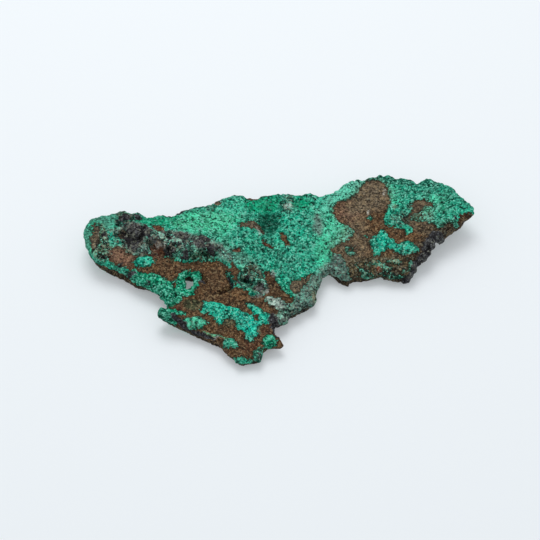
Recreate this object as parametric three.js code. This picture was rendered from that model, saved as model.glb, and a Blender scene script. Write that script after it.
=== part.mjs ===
// A native copper nugget: one flat, ragged sheet of copper, about 102 mm long, with a malachite crust.
// It is one solid. The plan view is a closed outline with one small hole through it. The upper face is a
// gently dished relief with a ledge across its left part, and the under face is the upper face less the
// sheet's thickness. Lumps on the under face are flattened where they meet the surface that it lies on.
//
// Frame: millimetres, +X along the length, +Y towards the back edge, +Z up. The origin is in the middle of
// the bounding box, on the surface that the sheet lies on.

import * as THREE from "three";

// --- Driving dimensions, in millimetres -----------------------------------------------------------------

const MESH_STEP = 1.35; // spacing of the triangles in plan
const CURVE_STEP = 0.5; // spacing of the points along an outline
const SHEET_LEVEL = 5.0; // height of the upper face at the middle of the sheet
const SHEET_SLOPE = 0.045; // rise of the upper face per millimetre towards the back
const SHEET_THICKNESS = 2.7;
const UPPER_ROUNDING = 1.0; // width of the band over which the upper face rounds down to the rim
const UPPER_DROP = 0.35; // how far it rounds down
const UNDER_ROUNDING = 2.4; // width of the band over which the under face rises to the rim
const UNDER_RISE = 1.1; // how far it rises
const RIM_BULGE = 0.2; // how far the rim swells out at mid height
const LEDGE_RISE = 2.3;
const LEDGE_FALL = 6.0; // distance behind the ledge over which the rise dies away
const LEDGE_FOOT = -1.2; // the step begins this far in front of the ledge line
const LEDGE_BROW = 0.9; // and is complete this far behind it

// The plan outline, anticlockwise from the left end's front corner.
const OUTLINE = [
  // front edge of the left arm
  [-48.5, 3.5], [-46, 1.5], [-41, -1], [-36, -4.5], [-31, -8], [-29, -10.5], [-28.5, -13.5],
  // tongue that points left below the notch
  [-30, -14], [-30.5, -15.5], [-28.5, -17], [-24, -18.5], [-19, -21], [-15.5, -23], [-13.5, -25], [-11, -27.5],
  // front tip
  [-10, -28.5], [-5, -28], [-3.5, -25], [0.5, -24.5], [1, -23.5], [-1, -20], [-1, -17.5], [1.5, -16],
  [4.5, -13], [8.5, -11], [9.5, -9], [10.5, -4],
  // bay at the waist
  [12, -1], [13.5, -0.5], [16.5, -2], [18, -2.5], [19.5, -1.5], [26, -1], [33, -2], [35, 0.5],
  // right lobe, front edge
  [36.5, 2.5], [39, 4], [40.5, 7.5], [41.5, 9], [43, 9], [46.5, 12], [51, 15.5], [51.5, 17],
  // right lobe, back edge
  [50.5, 20], [46, 26.5], [42.5, 28.5], [40, 30], [38, 28], [36.5, 30], [32, 30.5], [30, 31.5], [28.5, 31],
  [27, 31.5], [21.5, 29.5], [18.5, 28.5], [15.5, 26], [13, 24.5], [10.5, 24], [8.5, 25], [6, 24.5], [0, 25],
  [-8, 24], [-11.5, 24.5], [-13.5, 23.5],
  // left arm, back edge and end
  [-16.5, 22.5], [-19, 20.5], [-22.5, 20], [-25.5, 18.5], [-28, 17], [-31, 17], [-35, 16], [-37.5, 17.5],
  [-39, 17], [-41.5, 18], [-45.5, 16.5], [-49, 15], [-50.5, 13], [-51, 8.5], [-50, 5.5],
];

// The hole through the left arm, clockwise.
const HOLE = [
  [-24.5, -5], [-24.5, -3.5], [-23.5, -2], [-22.5, -2.5], [-22, -4], [-22, -5.5], [-22.5, -6.5], [-24, -6.5],
];

// Broad rises and hollows of the upper face: centre, half widths along and across, turn in degrees, height.
const SWELLS = [
  { name: "left end", at: [-50, 9], widths: [13, 13], turn: 0, rise: 2.3 },
  { name: "right end", at: [52, 15], widths: [16, 16], turn: 0, rise: 2.8 },
  { name: "crown of the right lobe", at: [24, 22], widths: [9, 8], turn: 0, rise: 0.8 },
  { name: "tip of the tongue", at: [-31, -18], widths: [7, 6], turn: 0, rise: 2.0 },
  { name: "dip at the waist", at: [24, -6], widths: [14, 7], turn: 0, rise: -1.5 },
  { name: "hollow", at: [-2.5, 14.5], widths: [3.2, 4.2], turn: 10, rise: -2.2 },
  { name: "back swell", at: [-14, 14], widths: [14, 7], turn: -8, rise: 0.9 },
];

// Places where the sheet is thicker than usual.
const THICKENINGS = [
  { name: "left arm's front edge", at: [-42, 0], widths: [10, 4.5], turn: -32, rise: 3.5 },
  { name: "tongue's front edge", at: [-22, -19], widths: [9, 3.5], turn: -25, rise: 1.9 },
  { name: "waist's front edge", at: [5, -13], widths: [9, 3.2], turn: 45, rise: 1.6 },
  { name: "right lobe's front edge", at: [29, -2.5], widths: [9, 3], turn: 0, rise: 1.5 },
  { name: "right lobe's front corner", at: [36, 1], widths: [6, 5], turn: 0, rise: 0.8 },
  { name: "right end's front edge", at: [46, 12], widths: [7, 3.5], turn: 32, rise: 1.6 },
  { name: "back of the hole", at: [-23, 0.2], widths: [2.8, 2.4], turn: 0, rise: 2.2 },
  { name: "foot under the front tip", at: [-8.5, -25.5], widths: [4, 3.5], turn: 0, rise: 2.2 },
  { name: "foot under the waist", at: [18.5, -0.5], widths: [4.5, 3.4], turn: 0, rise: 3.2 },
  { name: "foot under the left arm's back", at: [-29, 13], widths: [6.5, 4], turn: 10, rise: 5.2 },
  { name: "foot under the right lobe's back", at: [25, 26], widths: [6, 4.2], turn: 15, rise: 6.0 },
];

// The line of the ledge, from the left end to where it dies out. The high side is to its left, at the back.
const LEDGE = [
  [-45, 10.5], [-38, 9.5], [-31, 6], [-24.5, 3], [-17.5, 3.5], [-14, 6.5],
];
const LEDGE_FADE_IN = 0.25; // shares of the ledge's length over which it comes up and dies out
const LEDGE_FADE_OUT = 0.78;

// --- Functions of the plan ---------------------------------------------------------------------------------

// A smooth step from 0 at low to 1 at high.
const smoothStep = (low, high, value) => THREE.MathUtils.smoothstep(value, low, high);

// A closed smooth curve through the points, as a list of evenly spaced plan points.
function closedCurve(points) {
  const curve = new THREE.CatmullRomCurve3(
    points.map(([x, y]) => new THREE.Vector3(x, y, 0)),
    true,
    "centripetal",
  );
  const count = Math.round(curve.getLength() / CURVE_STEP);
  return curve.getSpacedPoints(count).slice(0, count).map((p) => [p.x, p.y]);
}

// The nearest point of a chain of segments to (x, y): its distance, its side (+1 left of the way the chain
// runs), its share of the chain's length, and the point itself.
function nearest(chain, closed, x, y) {
  const best = { distance: Infinity, side: 1, share: 0, point: [0, 0] };
  const last = closed ? chain.length : chain.length - 1;
  for (let i = 0; i < last; i++) {
    const [ax, ay] = chain[i];
    const [bx, by] = chain[(i + 1) % chain.length];
    const dx = bx - ax;
    const dy = by - ay;
    const t = THREE.MathUtils.clamp(((x - ax) * dx + (y - ay) * dy) / (dx * dx + dy * dy), 0, 1);
    const px = ax + t * dx;
    const py = ay + t * dy;
    const distance = Math.hypot(x - px, y - py);
    if (distance < best.distance) {
      best.distance = distance;
      best.side = dx * (y - ay) - dy * (x - ax) >= 0 ? 1 : -1;
      best.share = (i + t) / last;
      best.point = [px, py];
    }
  }
  return best;
}

// True if (x, y) is inside the closed chain, by counting the segments that a ray along +X crosses.
function encloses(chain, x, y) {
  let inside = false;
  chain.forEach(([ax, ay], i) => {
    const [bx, by] = chain[(i + 1) % chain.length];
    if (ay > y !== by > y && x < ax + ((y - ay) / (by - ay)) * (bx - ax)) inside = !inside;
  });
  return inside;
}

const edgeCurve = closedCurve(OUTLINE);
const holeCurve = closedCurve(HOLE);

// How far (x, y) is inside the sheet's edge, negative outside it or in the hole, and the nearest edge point.
function inset(x, y) {
  const edge = nearest(edgeCurve, true, x, y);
  const hole = nearest(holeCurve, true, x, y);
  const solid = encloses(edgeCurve, x, y) && !encloses(holeCurve, x, y);
  const near = edge.distance < hole.distance ? edge : hole;
  return { depth: solid ? near.distance : -near.distance, point: near.point };
}

// The sum of some bell-shaped hills at (x, y).
function hills(list, x, y) {
  return list.reduce((sum, { at, widths, turn, rise }) => {
    const angle = THREE.MathUtils.degToRad(turn);
    const dx = x - at[0];
    const dy = y - at[1];
    const along = (dx * Math.cos(angle) + dy * Math.sin(angle)) / widths[0];
    const across = (dy * Math.cos(angle) - dx * Math.sin(angle)) / widths[1];
    return sum + rise * Math.exp(-along * along - across * across);
  }, 0);
}

// The step up at the ledge: steep on its front, dying away behind it, and fading at both ends.
function ledge(x, y) {
  const { distance, side, share } = nearest(LEDGE, false, x, y);
  const behind = distance * side;
  const fade = smoothStep(0, LEDGE_FADE_IN, share) * (1 - smoothStep(LEDGE_FADE_OUT, 1, share));
  const step = smoothStep(LEDGE_FOOT, LEDGE_BROW, behind);
  return LEDGE_RISE * fade * step * Math.exp(-((Math.max(behind, 0) / LEDGE_FALL) ** 2));
}

// How far round the rim's quarter ellipse a place is: 1 at the rim and 0 at share 1.
function rounding(share) {
  const reach = 1 - THREE.MathUtils.clamp(share, 0, 1);
  return 1 - Math.sqrt(1 - reach * reach);
}

// The upper and under faces' heights at (x, y), depth millimetres inside the edge. Both round towards the
// rim, and the under face goes no lower than the surface that the sheet lies on.
function heights(x, y, depth) {
  const upper = SHEET_LEVEL + SHEET_SLOPE * y + hills(SWELLS, x, y) + ledge(x, y);
  const under = upper - SHEET_THICKNESS - hills(THICKENINGS, x, y);
  return [
    upper - UPPER_DROP * rounding(depth / UPPER_ROUNDING),
    Math.max(0, under + UNDER_RISE * rounding(depth / UNDER_ROUNDING)),
  ];
}

// --- Plan mesh ---------------------------------------------------------------------------------------------

// Triangles that fill the plan. A lattice of equal triangles covers the outline's box. A lattice point
// close to the edge moves onto it, and a triangle that crosses the edge is cut there.
function planMesh() {
  const points = [];
  const depths = [];
  const rowStep = (MESH_STEP * Math.sqrt(3)) / 2;
  const xs = edgeCurve.map(([x]) => x);
  const ys = edgeCurve.map(([, y]) => y);
  const left = Math.min(...xs) - MESH_STEP;
  const front = Math.min(...ys) - MESH_STEP;
  const columns = Math.ceil((Math.max(...xs) - left) / MESH_STEP) + 2;
  const rows = Math.ceil((Math.max(...ys) - front) / rowStep) + 2;
  const snap = 0.35 * MESH_STEP;
  for (let row = 0; row < rows; row++)
    for (let column = 0; column < columns; column++) {
      const x = left + (column + (row % 2) / 2) * MESH_STEP;
      const y = front + row * rowStep;
      const { depth, point } = inset(x, y);
      const moves = Math.abs(depth) < snap;
      points.push(moves ? point : [x, y]);
      depths.push(moves ? 0 : depth);
    }

  const cuts = new Map();
  // The point where the edge crosses the side from a to b, made once for both triangles that share it.
  function cut(a, b) {
    const key = a < b ? `${a} ${b}` : `${b} ${a}`;
    if (!cuts.has(key)) {
      const share = depths[a] / (depths[a] - depths[b]);
      const x = points[a][0] + share * (points[b][0] - points[a][0]);
      const y = points[a][1] + share * (points[b][1] - points[a][1]);
      cuts.set(key, points.length);
      points.push(inset(x, y).point);
      depths.push(0);
    }
    return cuts.get(key);
  }

  const triangles = [];
  // Adds what is inside the edge of the triangle with these three corners, anticlockwise.
  function addTriangle(corners) {
    const centre = [0, 1].map((axis) => corners.reduce((sum, c) => sum + points[c][axis], 0) / 3);
    if (corners.every((c) => depths[c] >= 0)) {
      if (inset(...centre).depth > 0) triangles.push(corners);
      return;
    }
    if (!corners.some((c) => depths[c] > 0)) return;
    const kept = [];
    corners.forEach((a, i) => {
      const b = corners[(i + 1) % 3];
      if (depths[a] >= 0) kept.push(a);
      if (depths[a] * depths[b] < 0) kept.push(cut(a, b));
    });
    for (let i = 1; i + 1 < kept.length; i++) triangles.push([kept[0], kept[i], kept[i + 1]]);
  }

  for (let row = 0; row + 1 < rows; row++)
    for (let column = 0; column + 1 < columns; column++) {
      const a = row * columns + column;
      const b = a + 1;
      const c = a + columns;
      const d = c + 1;
      if (row % 2) {
        addTriangle([a, b, d]);
        addTriangle([a, d, c]);
      } else {
        addTriangle([a, b, c]);
        addTriangle([b, d, c]);
      }
    }
  return { points, depths, triangles };
}

// --- The solid ---------------------------------------------------------------------------------------------

// Joins the upper face, the under face and a rim of two bands that swells out at mid height.
function sheetGeometry() {
  const { points, depths, triangles } = planMesh();
  const sides = new Map();
  triangles.forEach((corners) =>
    corners.forEach((a, i) => {
      const b = corners[(i + 1) % 3];
      const back = `${b} ${a}`;
      if (sides.has(back)) sides.delete(back);
      else sides.set(`${a} ${b}`, [a, b]);
    }),
  );

  // Each rim point moves out along the mean of the outward directions of its two sides.
  const outward = new Map();
  for (const [a, b] of sides.values())
    for (const corner of [a, b]) {
      const sum = outward.get(corner) ?? new THREE.Vector2();
      const side = new THREE.Vector2(points[b][1] - points[a][1], points[a][0] - points[b][0]);
      outward.set(corner, sum.add(side.normalize()));
    }

  const vertices = [];
  const indices = [];
  const upper = new Map();
  const under = new Map();
  const middle = new Map();
  new Set(triangles.flat()).forEach((corner) => {
    const [x, y] = points[corner];
    const [top, bottom] = heights(x, y, depths[corner]);
    upper.set(corner, vertices.push([x, y, top]) - 1);
    under.set(corner, vertices.push([x, y, bottom]) - 1);
    if (outward.has(corner)) {
      const out = outward.get(corner).setLength(RIM_BULGE);
      middle.set(corner, vertices.push([x + out.x, y + out.y, (top + bottom) / 2]) - 1);
    }
  });
  triangles.forEach(([a, b, c]) => {
    indices.push(upper.get(a), upper.get(b), upper.get(c));
    indices.push(under.get(a), under.get(c), under.get(b));
  });
  for (const [a, b] of sides.values())
    for (const [high, low] of [[upper, middle], [middle, under]]) {
      indices.push(high.get(a), low.get(a), low.get(b));
      indices.push(high.get(a), low.get(b), high.get(b));
    }

  const geometry = new THREE.BufferGeometry();
  geometry.setAttribute("position", new THREE.Float32BufferAttribute(vertices.flat(), 3));
  geometry.setIndex(indices);
  geometry.computeBoundingBox();
  const centre = geometry.boundingBox.getCenter(new THREE.Vector3());
  geometry.translate(-centre.x, -centre.y, -geometry.boundingBox.min.z);
  geometry.computeVertexNormals();
  return geometry;
}

const crustedCopper = new THREE.MeshStandardMaterial({ color: "#3c8f74", roughness: 0.85, metalness: 0.1 });
const nugget = new THREE.Mesh(sheetGeometry(), crustedCopper);
nugget.name = "copper_nugget";

const part = new THREE.Group();
part.add(nugget);

export default part;
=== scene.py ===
"""A native copper nugget: a ragged sheet of copper with a malachite crust over bare oxidised metal.

The sheet is one closed surface. Its plan is a lattice of small triangles cut to a ragged outline, its two
faces are height functions of the plan, and its rim is a profile carried round the outline. Patches say
where the crust grows, where the metal is bare and where the oxide is black. They shape the fine relief,
and the surface carries them as attributes for the material. Plan places are in millimetres.
"""

import logging
import math
from dataclasses import dataclass, field
from enum import Enum

import bpy
import numpy as np
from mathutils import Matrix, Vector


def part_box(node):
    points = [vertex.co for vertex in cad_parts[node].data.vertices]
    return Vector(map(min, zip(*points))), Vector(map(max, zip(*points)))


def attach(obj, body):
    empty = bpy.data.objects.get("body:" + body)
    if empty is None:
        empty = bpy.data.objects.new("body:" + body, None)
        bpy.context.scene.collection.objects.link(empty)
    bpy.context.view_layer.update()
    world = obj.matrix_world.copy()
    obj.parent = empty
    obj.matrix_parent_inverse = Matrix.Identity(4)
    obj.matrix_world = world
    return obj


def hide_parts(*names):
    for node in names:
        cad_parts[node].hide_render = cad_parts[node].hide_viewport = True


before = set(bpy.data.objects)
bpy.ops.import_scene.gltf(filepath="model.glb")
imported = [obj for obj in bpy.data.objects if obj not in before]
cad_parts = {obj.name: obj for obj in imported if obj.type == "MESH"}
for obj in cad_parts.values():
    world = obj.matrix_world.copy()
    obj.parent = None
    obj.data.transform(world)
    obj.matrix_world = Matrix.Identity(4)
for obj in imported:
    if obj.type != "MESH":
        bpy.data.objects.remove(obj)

Array = np.ndarray
Points = tuple[tuple[float, float], ...]

NODE = "copper_nugget"
MILLIMETRE = 0.001
REACH = 3.0  # the furthest distance, in millimetres, that a patch's mask counts

log = logging.getLogger("copper_nugget")


# --- Numbers and noise ------------------------------------------------------------------------------------


# large odd numbers that spread the bits of x, y, z, the seed and their folded sum
SPREAD_X, SPREAD_Y, SPREAD_Z = 374761393, 668265263, 2246822519
SPREAD_SEED, SPREAD_SUM = 3266489917, 1274126177

OCTAVE_FALL = 0.55  # each noise field's height, as a share of the last one's
OCTAVE_GAIN = 1.3  # brings the mean of several fields back to about -1 to 1


def smooth_step(low: float, high: float, value: Array) -> Array:
    """Rises from 0 at low to 1 at high along the curve 3t^2 - 2t^3.

    Args:
        low: The value where the step begins.
        high: The value where the step is complete.
        value: The values to map.

    Returns:
        The mapped values, from 0 to 1.
    """
    t = np.clip((value - low) / (high - low), 0.0, 1.0)
    return t * t * (3.0 - 2.0 * t)


def hashed(cells: Array, seed: int) -> Array:
    """Mixes whole cell coordinates into random numbers by multiplying, shifting and folding their bits.

    Args:
        cells: Whole numbers, with x, y and z in the last axis.
        seed: A number that picks one random field.

    Returns:
        One number from 0 to 1 for each cell.
    """
    mask = np.uint64(0xFFFFFFFF)
    c = cells.astype(np.int64).astype(np.uint64)
    mixed = c[..., 0] * np.uint64(SPREAD_X) + c[..., 1] * np.uint64(SPREAD_Y)
    mixed = (mixed + c[..., 2] * np.uint64(SPREAD_Z) + np.uint64(seed * SPREAD_SEED)) & mask
    for shift in (15, 13):
        mixed = ((mixed ^ (mixed >> np.uint64(shift))) * np.uint64(SPREAD_SUM)) & mask
    return (mixed ^ (mixed >> np.uint64(16))) / float(mask)


def noise(points: Array, wavelength: float, seed: int) -> Array:
    """Smooth random field: random values at the corners of cubes, blended across each cube.

    Args:
        points: Places in millimetres, one row each.
        wavelength: The side of the cubes in millimetres.
        seed: A number that picks one random field.

    Returns:
        One value from -1 to 1 for each place.
    """
    scaled = points / wavelength
    base = np.floor(scaled)
    t = scaled - base
    t = t * t * t * (t * (t * 6.0 - 15.0) + 10.0)
    total = np.zeros(len(points))
    for corner in np.ndindex(2, 2, 2):
        weight = np.prod(np.where(np.array(corner) == 1, t, 1.0 - t), axis=1)
        total += weight * hashed(base + corner, seed)
    return 2.0 * total - 1.0


def fractal(points: Array, wavelength: float, octaves: int, seed: int) -> Array:
    """Mean of noise fields, each with half the wavelength and just over half the height of the last.

    Args:
        points: Places in millimetres, one row each.
        wavelength: The longest wavelength in millimetres.
        octaves: How many fields are added.
        seed: A number that picks the random fields.

    Returns:
        One value of about -1 to 1 for each place.
    """
    heights = [OCTAVE_FALL**i for i in range(octaves)]
    fields = [height * noise(points, wavelength / 2**i, seed + i) for i, height in enumerate(heights)]
    return sum(fields) / sum(heights) * OCTAVE_GAIN


def knobs(points: Array, size: float, seed: int) -> Array:
    """Packed round knobs: 1 minus the squared distance to the nearest of some scattered centres.

    Args:
        points: Places in millimetres, one row each.
        size: The mean spacing of the centres in millimetres.
        seed: A number that picks the centres.

    Returns:
        One value for each place, 1 on a knob's top and about 0 between knobs.
    """
    scaled = points / size
    base = np.floor(scaled)
    nearest = np.full(len(points), np.inf)
    for step in np.ndindex(3, 3, 3):
        cell = base + (np.array(step) - 1.0)
        centre = cell + np.stack([hashed(cell, seed + axis) for axis in range(3)], axis=1)
        nearest = np.minimum(nearest, np.sum((scaled - centre) ** 2, axis=1))
    return np.clip(1.0 - nearest, 0.0, 1.0)


# --- Plan curves ------------------------------------------------------------------------------------------


PAIRS_AT_ONCE = 2_000_000  # how many pairs of a place and a segment are worked on together


def rounded(points: Points, steps: int) -> Array:
    """Closed smooth curve through the points: a Catmull-Rom cubic between each point and the next.

    Args:
        points: The points in order.
        steps: How many places each stretch between two points gives.

    Returns:
        The curve's places, one row each.
    """
    p1 = np.array(points)[:, None, :]
    p0, p2, p3 = (np.roll(p1, shift, axis=0) for shift in (1, -1, -2))
    t = (np.arange(steps) / steps)[None, :, None]
    bend, twist = 2 * p0 - 5 * p1 + 4 * p2 - p3, 3 * p1 - p0 - 3 * p2 + p3
    curve = 2 * p1 + (p2 - p0) * t + bend * t**2 + twist * t**3
    return curve.reshape(-1, 2) / 2


def oval(x: float, y: float, length: float, width: float, turn: float = 0.0) -> Points:
    """Eight points round an ellipse.

    Args:
        x: Its centre.
        y: Its centre.
        length: Its whole length.
        width: Its whole width.
        turn: The length's angle from +X, in degrees.

    Returns:
        The points in order.
    """
    angles, lean = np.arange(8) * math.pi / 4, math.radians(turn)
    along, across = np.cos(angles) * length / 2, np.sin(angles) * width / 2
    return tuple(zip(x + along * math.cos(lean) - across * math.sin(lean),
                     y + along * math.sin(lean) + across * math.cos(lean)))


def to_chain(chain: Array, places: Array, closed: bool) -> tuple[Array, Array, Array]:
    """Distance from each place to the nearest segment of a chain.

    Args:
        chain: The chain's corners, one row each.
        places: Plan places, one row each.
        closed: Whether the last corner joins the first.

    Returns:
        The distances, the sides (1 to the left of the way the chain runs, else -1), and how far along the
        chain the nearest points are, as a share of its number of segments.
    """
    start = chain if closed else chain[:-1]
    run = (np.roll(chain, -1, axis=0) if closed else chain[1:]) - start
    length2 = np.maximum((run**2).sum(axis=1), 1e-9)
    distances, sides, shares = [], [], []
    for block in np.array_split(places, max(1, len(places) * len(start) // PAIRS_AT_ONCE)):
        away = block[:, None, :] - start[None]
        t = np.clip((away * run).sum(axis=2) / length2, 0.0, 1.0)
        gap2 = ((away - t[..., None] * run) ** 2).sum(axis=2)
        best = gap2.argmin(axis=1)
        row = np.arange(len(block))
        distances.append(np.sqrt(gap2[row, best]))
        cross = run[best, 0] * away[row, best, 1] - run[best, 1] * away[row, best, 0]
        sides.append(np.where(cross >= 0, 1.0, -1.0))
        shares.append((best + t[row, best]) / len(start))
    return np.concatenate(distances), np.concatenate(sides), np.concatenate(shares)


def within(chain: Array, places: Array) -> Array:
    """Distance inside a closed chain, negative outside it, by the even-odd rule.

    Args:
        chain: The chain's corners, one row each.
        places: Plan places, one row each.

    Returns:
        One distance for each place.
    """
    distance = to_chain(chain, places, True)[0]
    after = np.roll(chain, -1, axis=0)
    inside = np.zeros(len(places), dtype=bool)
    for (ax, ay), (bx, by) in zip(chain, after):
        if ay != by:
            crosses = (ay > places[:, 1]) != (by > places[:, 1])
            inside ^= crosses & (places[:, 0] < ax + (places[:, 1] - ay) / (by - ay) * (bx - ax))
    return np.where(inside, distance, -distance)


# --- The sheet's form -------------------------------------------------------------------------------------


@dataclass(frozen=True)
class Swell:
    """A bell-shaped rise (or a hollow, where rise is negative) of height rise * exp(-u^2 - v^2)."""

    x: float
    y: float
    along: float
    across: float
    turn: float
    rise: float

    def height(self, places: Array) -> Array:
        """Height of the swell at the plan places, in millimetres."""
        angle = math.radians(self.turn)
        dx, dy = places[:, 0] - self.x, places[:, 1] - self.y
        u = (dx * math.cos(angle) + dy * math.sin(angle)) / self.along
        v = (dy * math.cos(angle) - dx * math.sin(angle)) / self.across
        return self.rise * np.exp(-(u**2) - v**2)


@dataclass(frozen=True)
class Groove:
    """A crack or crease along a chain of plan points, of depth * exp(-(distance / width)^2)."""

    points: Points
    width: float
    depth: float

    def depth_at(self, places: Array) -> Array:
        """Depth of the groove at the plan places, in millimetres."""
        distance = to_chain(np.array(self.points), places, False)[0]
        return self.depth * np.exp(-((distance / self.width) ** 2))


OUTLINE: Points = (
    # front edge of the left arm
    (-48.5, 3.5), (-46, 1.5), (-41, -1), (-36, -4.5), (-31, -8), (-29, -10.5), (-28.5, -13.5),
    # tongue that points left below the notch
    (-30, -14), (-30.5, -15.5), (-28.5, -17), (-24, -18.5), (-19, -21), (-15.5, -23), (-13.5, -25), (-11,
    -27.5),
    # front tip
    (-10, -28.5), (-5, -28), (-3.5, -25), (0.5, -24.5), (1, -23.5), (-1, -20), (-1, -17.5), (1.5, -16),
    (4.5, -13), (8.5, -11), (9.5, -9), (10.5, -4),
    # bay at the waist
    (12, -1), (13.5, -0.5), (16.5, -2), (18, -2.5), (19.5, -1.5), (26, -1), (33, -2), (35, 0.5),
    # right lobe, front edge
    (36.5, 2.5), (39, 4), (40.5, 7.5), (41.5, 9), (43, 9), (46.5, 12), (51, 15.5), (51.5, 17),
    # right lobe, back edge
    (50.5, 20), (46, 26.5), (42.5, 28.5), (40, 30), (38, 28), (36.5, 30), (32, 30.5), (30, 31.5), (28.5,
    31), (27, 31.5), (21.5, 29.5), (18.5, 28.5), (15.5, 26), (13, 24.5), (10.5, 24), (8.5, 25), (6, 24.5),
    (0, 25), (-8, 24), (-11.5, 24.5), (-13.5, 23.5),
    # left arm, back edge and end
    (-16.5, 22.5), (-19, 20.5), (-22.5, 20), (-25.5, 18.5), (-28, 17), (-31, 17), (-35, 16), (-37.5,
    17.5), (-39, 17), (-41.5, 18), (-45.5, 16.5), (-49, 15), (-50.5, 13), (-51, 8.5), (-50, 5.5),
)

HOLE: Points = (
    (-24.5, -5), (-24.5, -3.5), (-23.5, -2), (-22.5, -2.5), (-22, -4), (-22, -5.5), (-22.5, -6.5), (-24,
    -6.5),
)


@dataclass(frozen=True)
class Form:
    """The sheet's plan and the heights of its two faces, in plan millimetres."""

    level: float = 5.0  # height of the upper face at the middle of the sheet
    slope: float = 0.045  # rise of the upper face per millimetre towards the back
    thickness: float = 2.7
    upper_rounding: float = 0.7  # width of the band over which the upper face rounds down to the rim
    upper_drop: float = 0.35  # how far it rounds down
    under_rounding: float = 2.4  # width of the band over which the under face rises to the rim
    under_rise: float = 1.1  # how far it rises
    ledge_rise: float = 2.3
    ledge_front: tuple[float, float] = (-0.9, 0.6)  # where its front begins and ends, behind its line
    ledge_fall: float = 6.0  # how far behind its line it has mostly died away
    ledge_ends: tuple[float, float] = (0.25, 0.78)  # shares of its length between which it is full
    ledge: Points = ((-45, 10.5), (-38, 9.5), (-31, 6), (-24.5, 3), (-17.5, 3.5), (-14, 6.5))
    swells: tuple[Swell, ...] = (
        Swell(-50, 9, 13, 13, 0, 2.3),  # left end
        Swell(52, 15, 16, 16, 0, 2.8),  # right end
        Swell(24, 22, 9, 8, 0, 0.8),  # crown of the right lobe
        Swell(-31, -18, 7, 6, 0, 2.0),  # tip of the tongue
        Swell(24, -6, 14, 7, 0, -1.5),  # dip at the waist
        Swell(-2.5, 14.5, 3.2, 4.2, 10, -2.2),  # hollow
        Swell(-14, 14, 14, 7, -8, 0.9),  # back swell
    )
    thickenings: tuple[Swell, ...] = (
        Swell(-42, 0, 10, 4.5, -32, 3.5),  # left arm's front edge
        Swell(-22, -19, 9, 3.5, -25, 1.9),  # tongue's front edge
        Swell(5, -13, 9, 3.2, 45, 1.6),  # waist's front edge
        Swell(29, -2.5, 9, 3, 0, 1.5),  # right lobe's front edge
        Swell(36, 1, 6, 5, 0, 0.8),  # right lobe's front corner
        Swell(46, 12, 7, 3.5, 32, 1.6),  # right end's front edge
        Swell(-23, 0.2, 2.8, 2.4, 0, 2.2),  # back of the hole
        Swell(-8.5, -25.5, 4, 3.5, 0, 2.2),  # foot under the front tip
        Swell(18.5, -0.5, 4.5, 3.4, 0, 3.2),  # foot under the waist
        Swell(-29, 13, 6.5, 4, 10, 5.2),  # foot under the left arm's back
        Swell(25, 26, 6, 4.2, 15, 6.0),  # foot under the right lobe's back
    )
    grooves: tuple[Groove, ...] = (
        Groove(((-13.5, -1.5), (-12, -5.5), (-12.5, -6.5), (-15, -8)), 0.5, 1.5),
        Groove(((-22, -9.5), (-20, -10.5)), 0.4, 0.7),
        Groove(((-20, -2.5), (-19, -4.5)), 0.55, 1.4),
        Groove(((-9.5, -3.5), (-6, -6.5), (-4.5, -6)), 1.1, 1.6),
        Groove(((-8.5, -2), (-4.5, -3)), 0.6, 1.0),
        Groove(((-44.5, 2.5), (-41.5, 0), (-35.5, -3)), 0.35, 0.35),
        Groove(((-26.5, -16), (-20.5, -19), (-13.5, -21.5)), 0.35, 0.45),
        Groove(((-37.5, 15), (-37, 15)), 0.7, 1.2),
        Groove(((-42.5, 15), (-42, 15)), 0.4, 0.7),
        Groove(((-30.5, 4.5), (-25, 4)), 0.6, 1.0),
        Groove(((8.5, 11), (8.5, 14), (9, 18)), 0.5, 0.4),
    )

    def ledge_height(self, places: Array) -> Array:
        """Height of the step at the ledge: steep on its front, dying away behind it and at both ends.

        Args:
            places: Plan places, one row each.

        Returns:
            One height for each place.
        """
        distance, side, share = to_chain(np.array(self.ledge), places, False)
        behind = distance * side
        full, fading = self.ledge_ends
        fade = smooth_step(0.0, full, share) * (1.0 - smooth_step(fading, 1.0, share))
        step = smooth_step(*self.ledge_front, behind)
        return self.ledge_rise * fade * step * np.exp(-((np.maximum(behind, 0.0) / self.ledge_fall) ** 2))

    def upper(self, places: Array) -> Array:
        """Height of the upper face away from the rim: a slope, the swells and the ledge."""
        hills = sum(swell.height(places) for swell in self.swells)
        return self.level + self.slope * places[:, 1] + hills + self.ledge_height(places)

    def faces(self, places: Array, depth: Array) -> tuple[Array, Array]:
        """Heights of the two faces, each rounded towards the rim along a quarter of an ellipse.

        Args:
            places: Plan places, one row each.
            depth: How far each place is inside the rim.

        Returns:
            The upper and the under heights; the under face goes no lower than the floor.
        """
        upper = self.upper(places)
        lower = upper - self.thickness - sum(swell.height(places) for swell in self.thickenings)
        upper -= self.upper_drop * self.rounding(depth / self.upper_rounding)
        lower += self.under_rise * self.rounding(depth / self.under_rounding)
        return upper, np.maximum(lower, 0.0)

    @staticmethod
    def rounding(share: Array) -> Array:
        """Falls from 1 at the rim to 0 at share 1 along a quarter circle."""
        return 1.0 - np.sqrt(1.0 - (1.0 - np.clip(share, 0.0, 1.0)) ** 2)


# --- Tones and patches ------------------------------------------------------------------------------------


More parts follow.
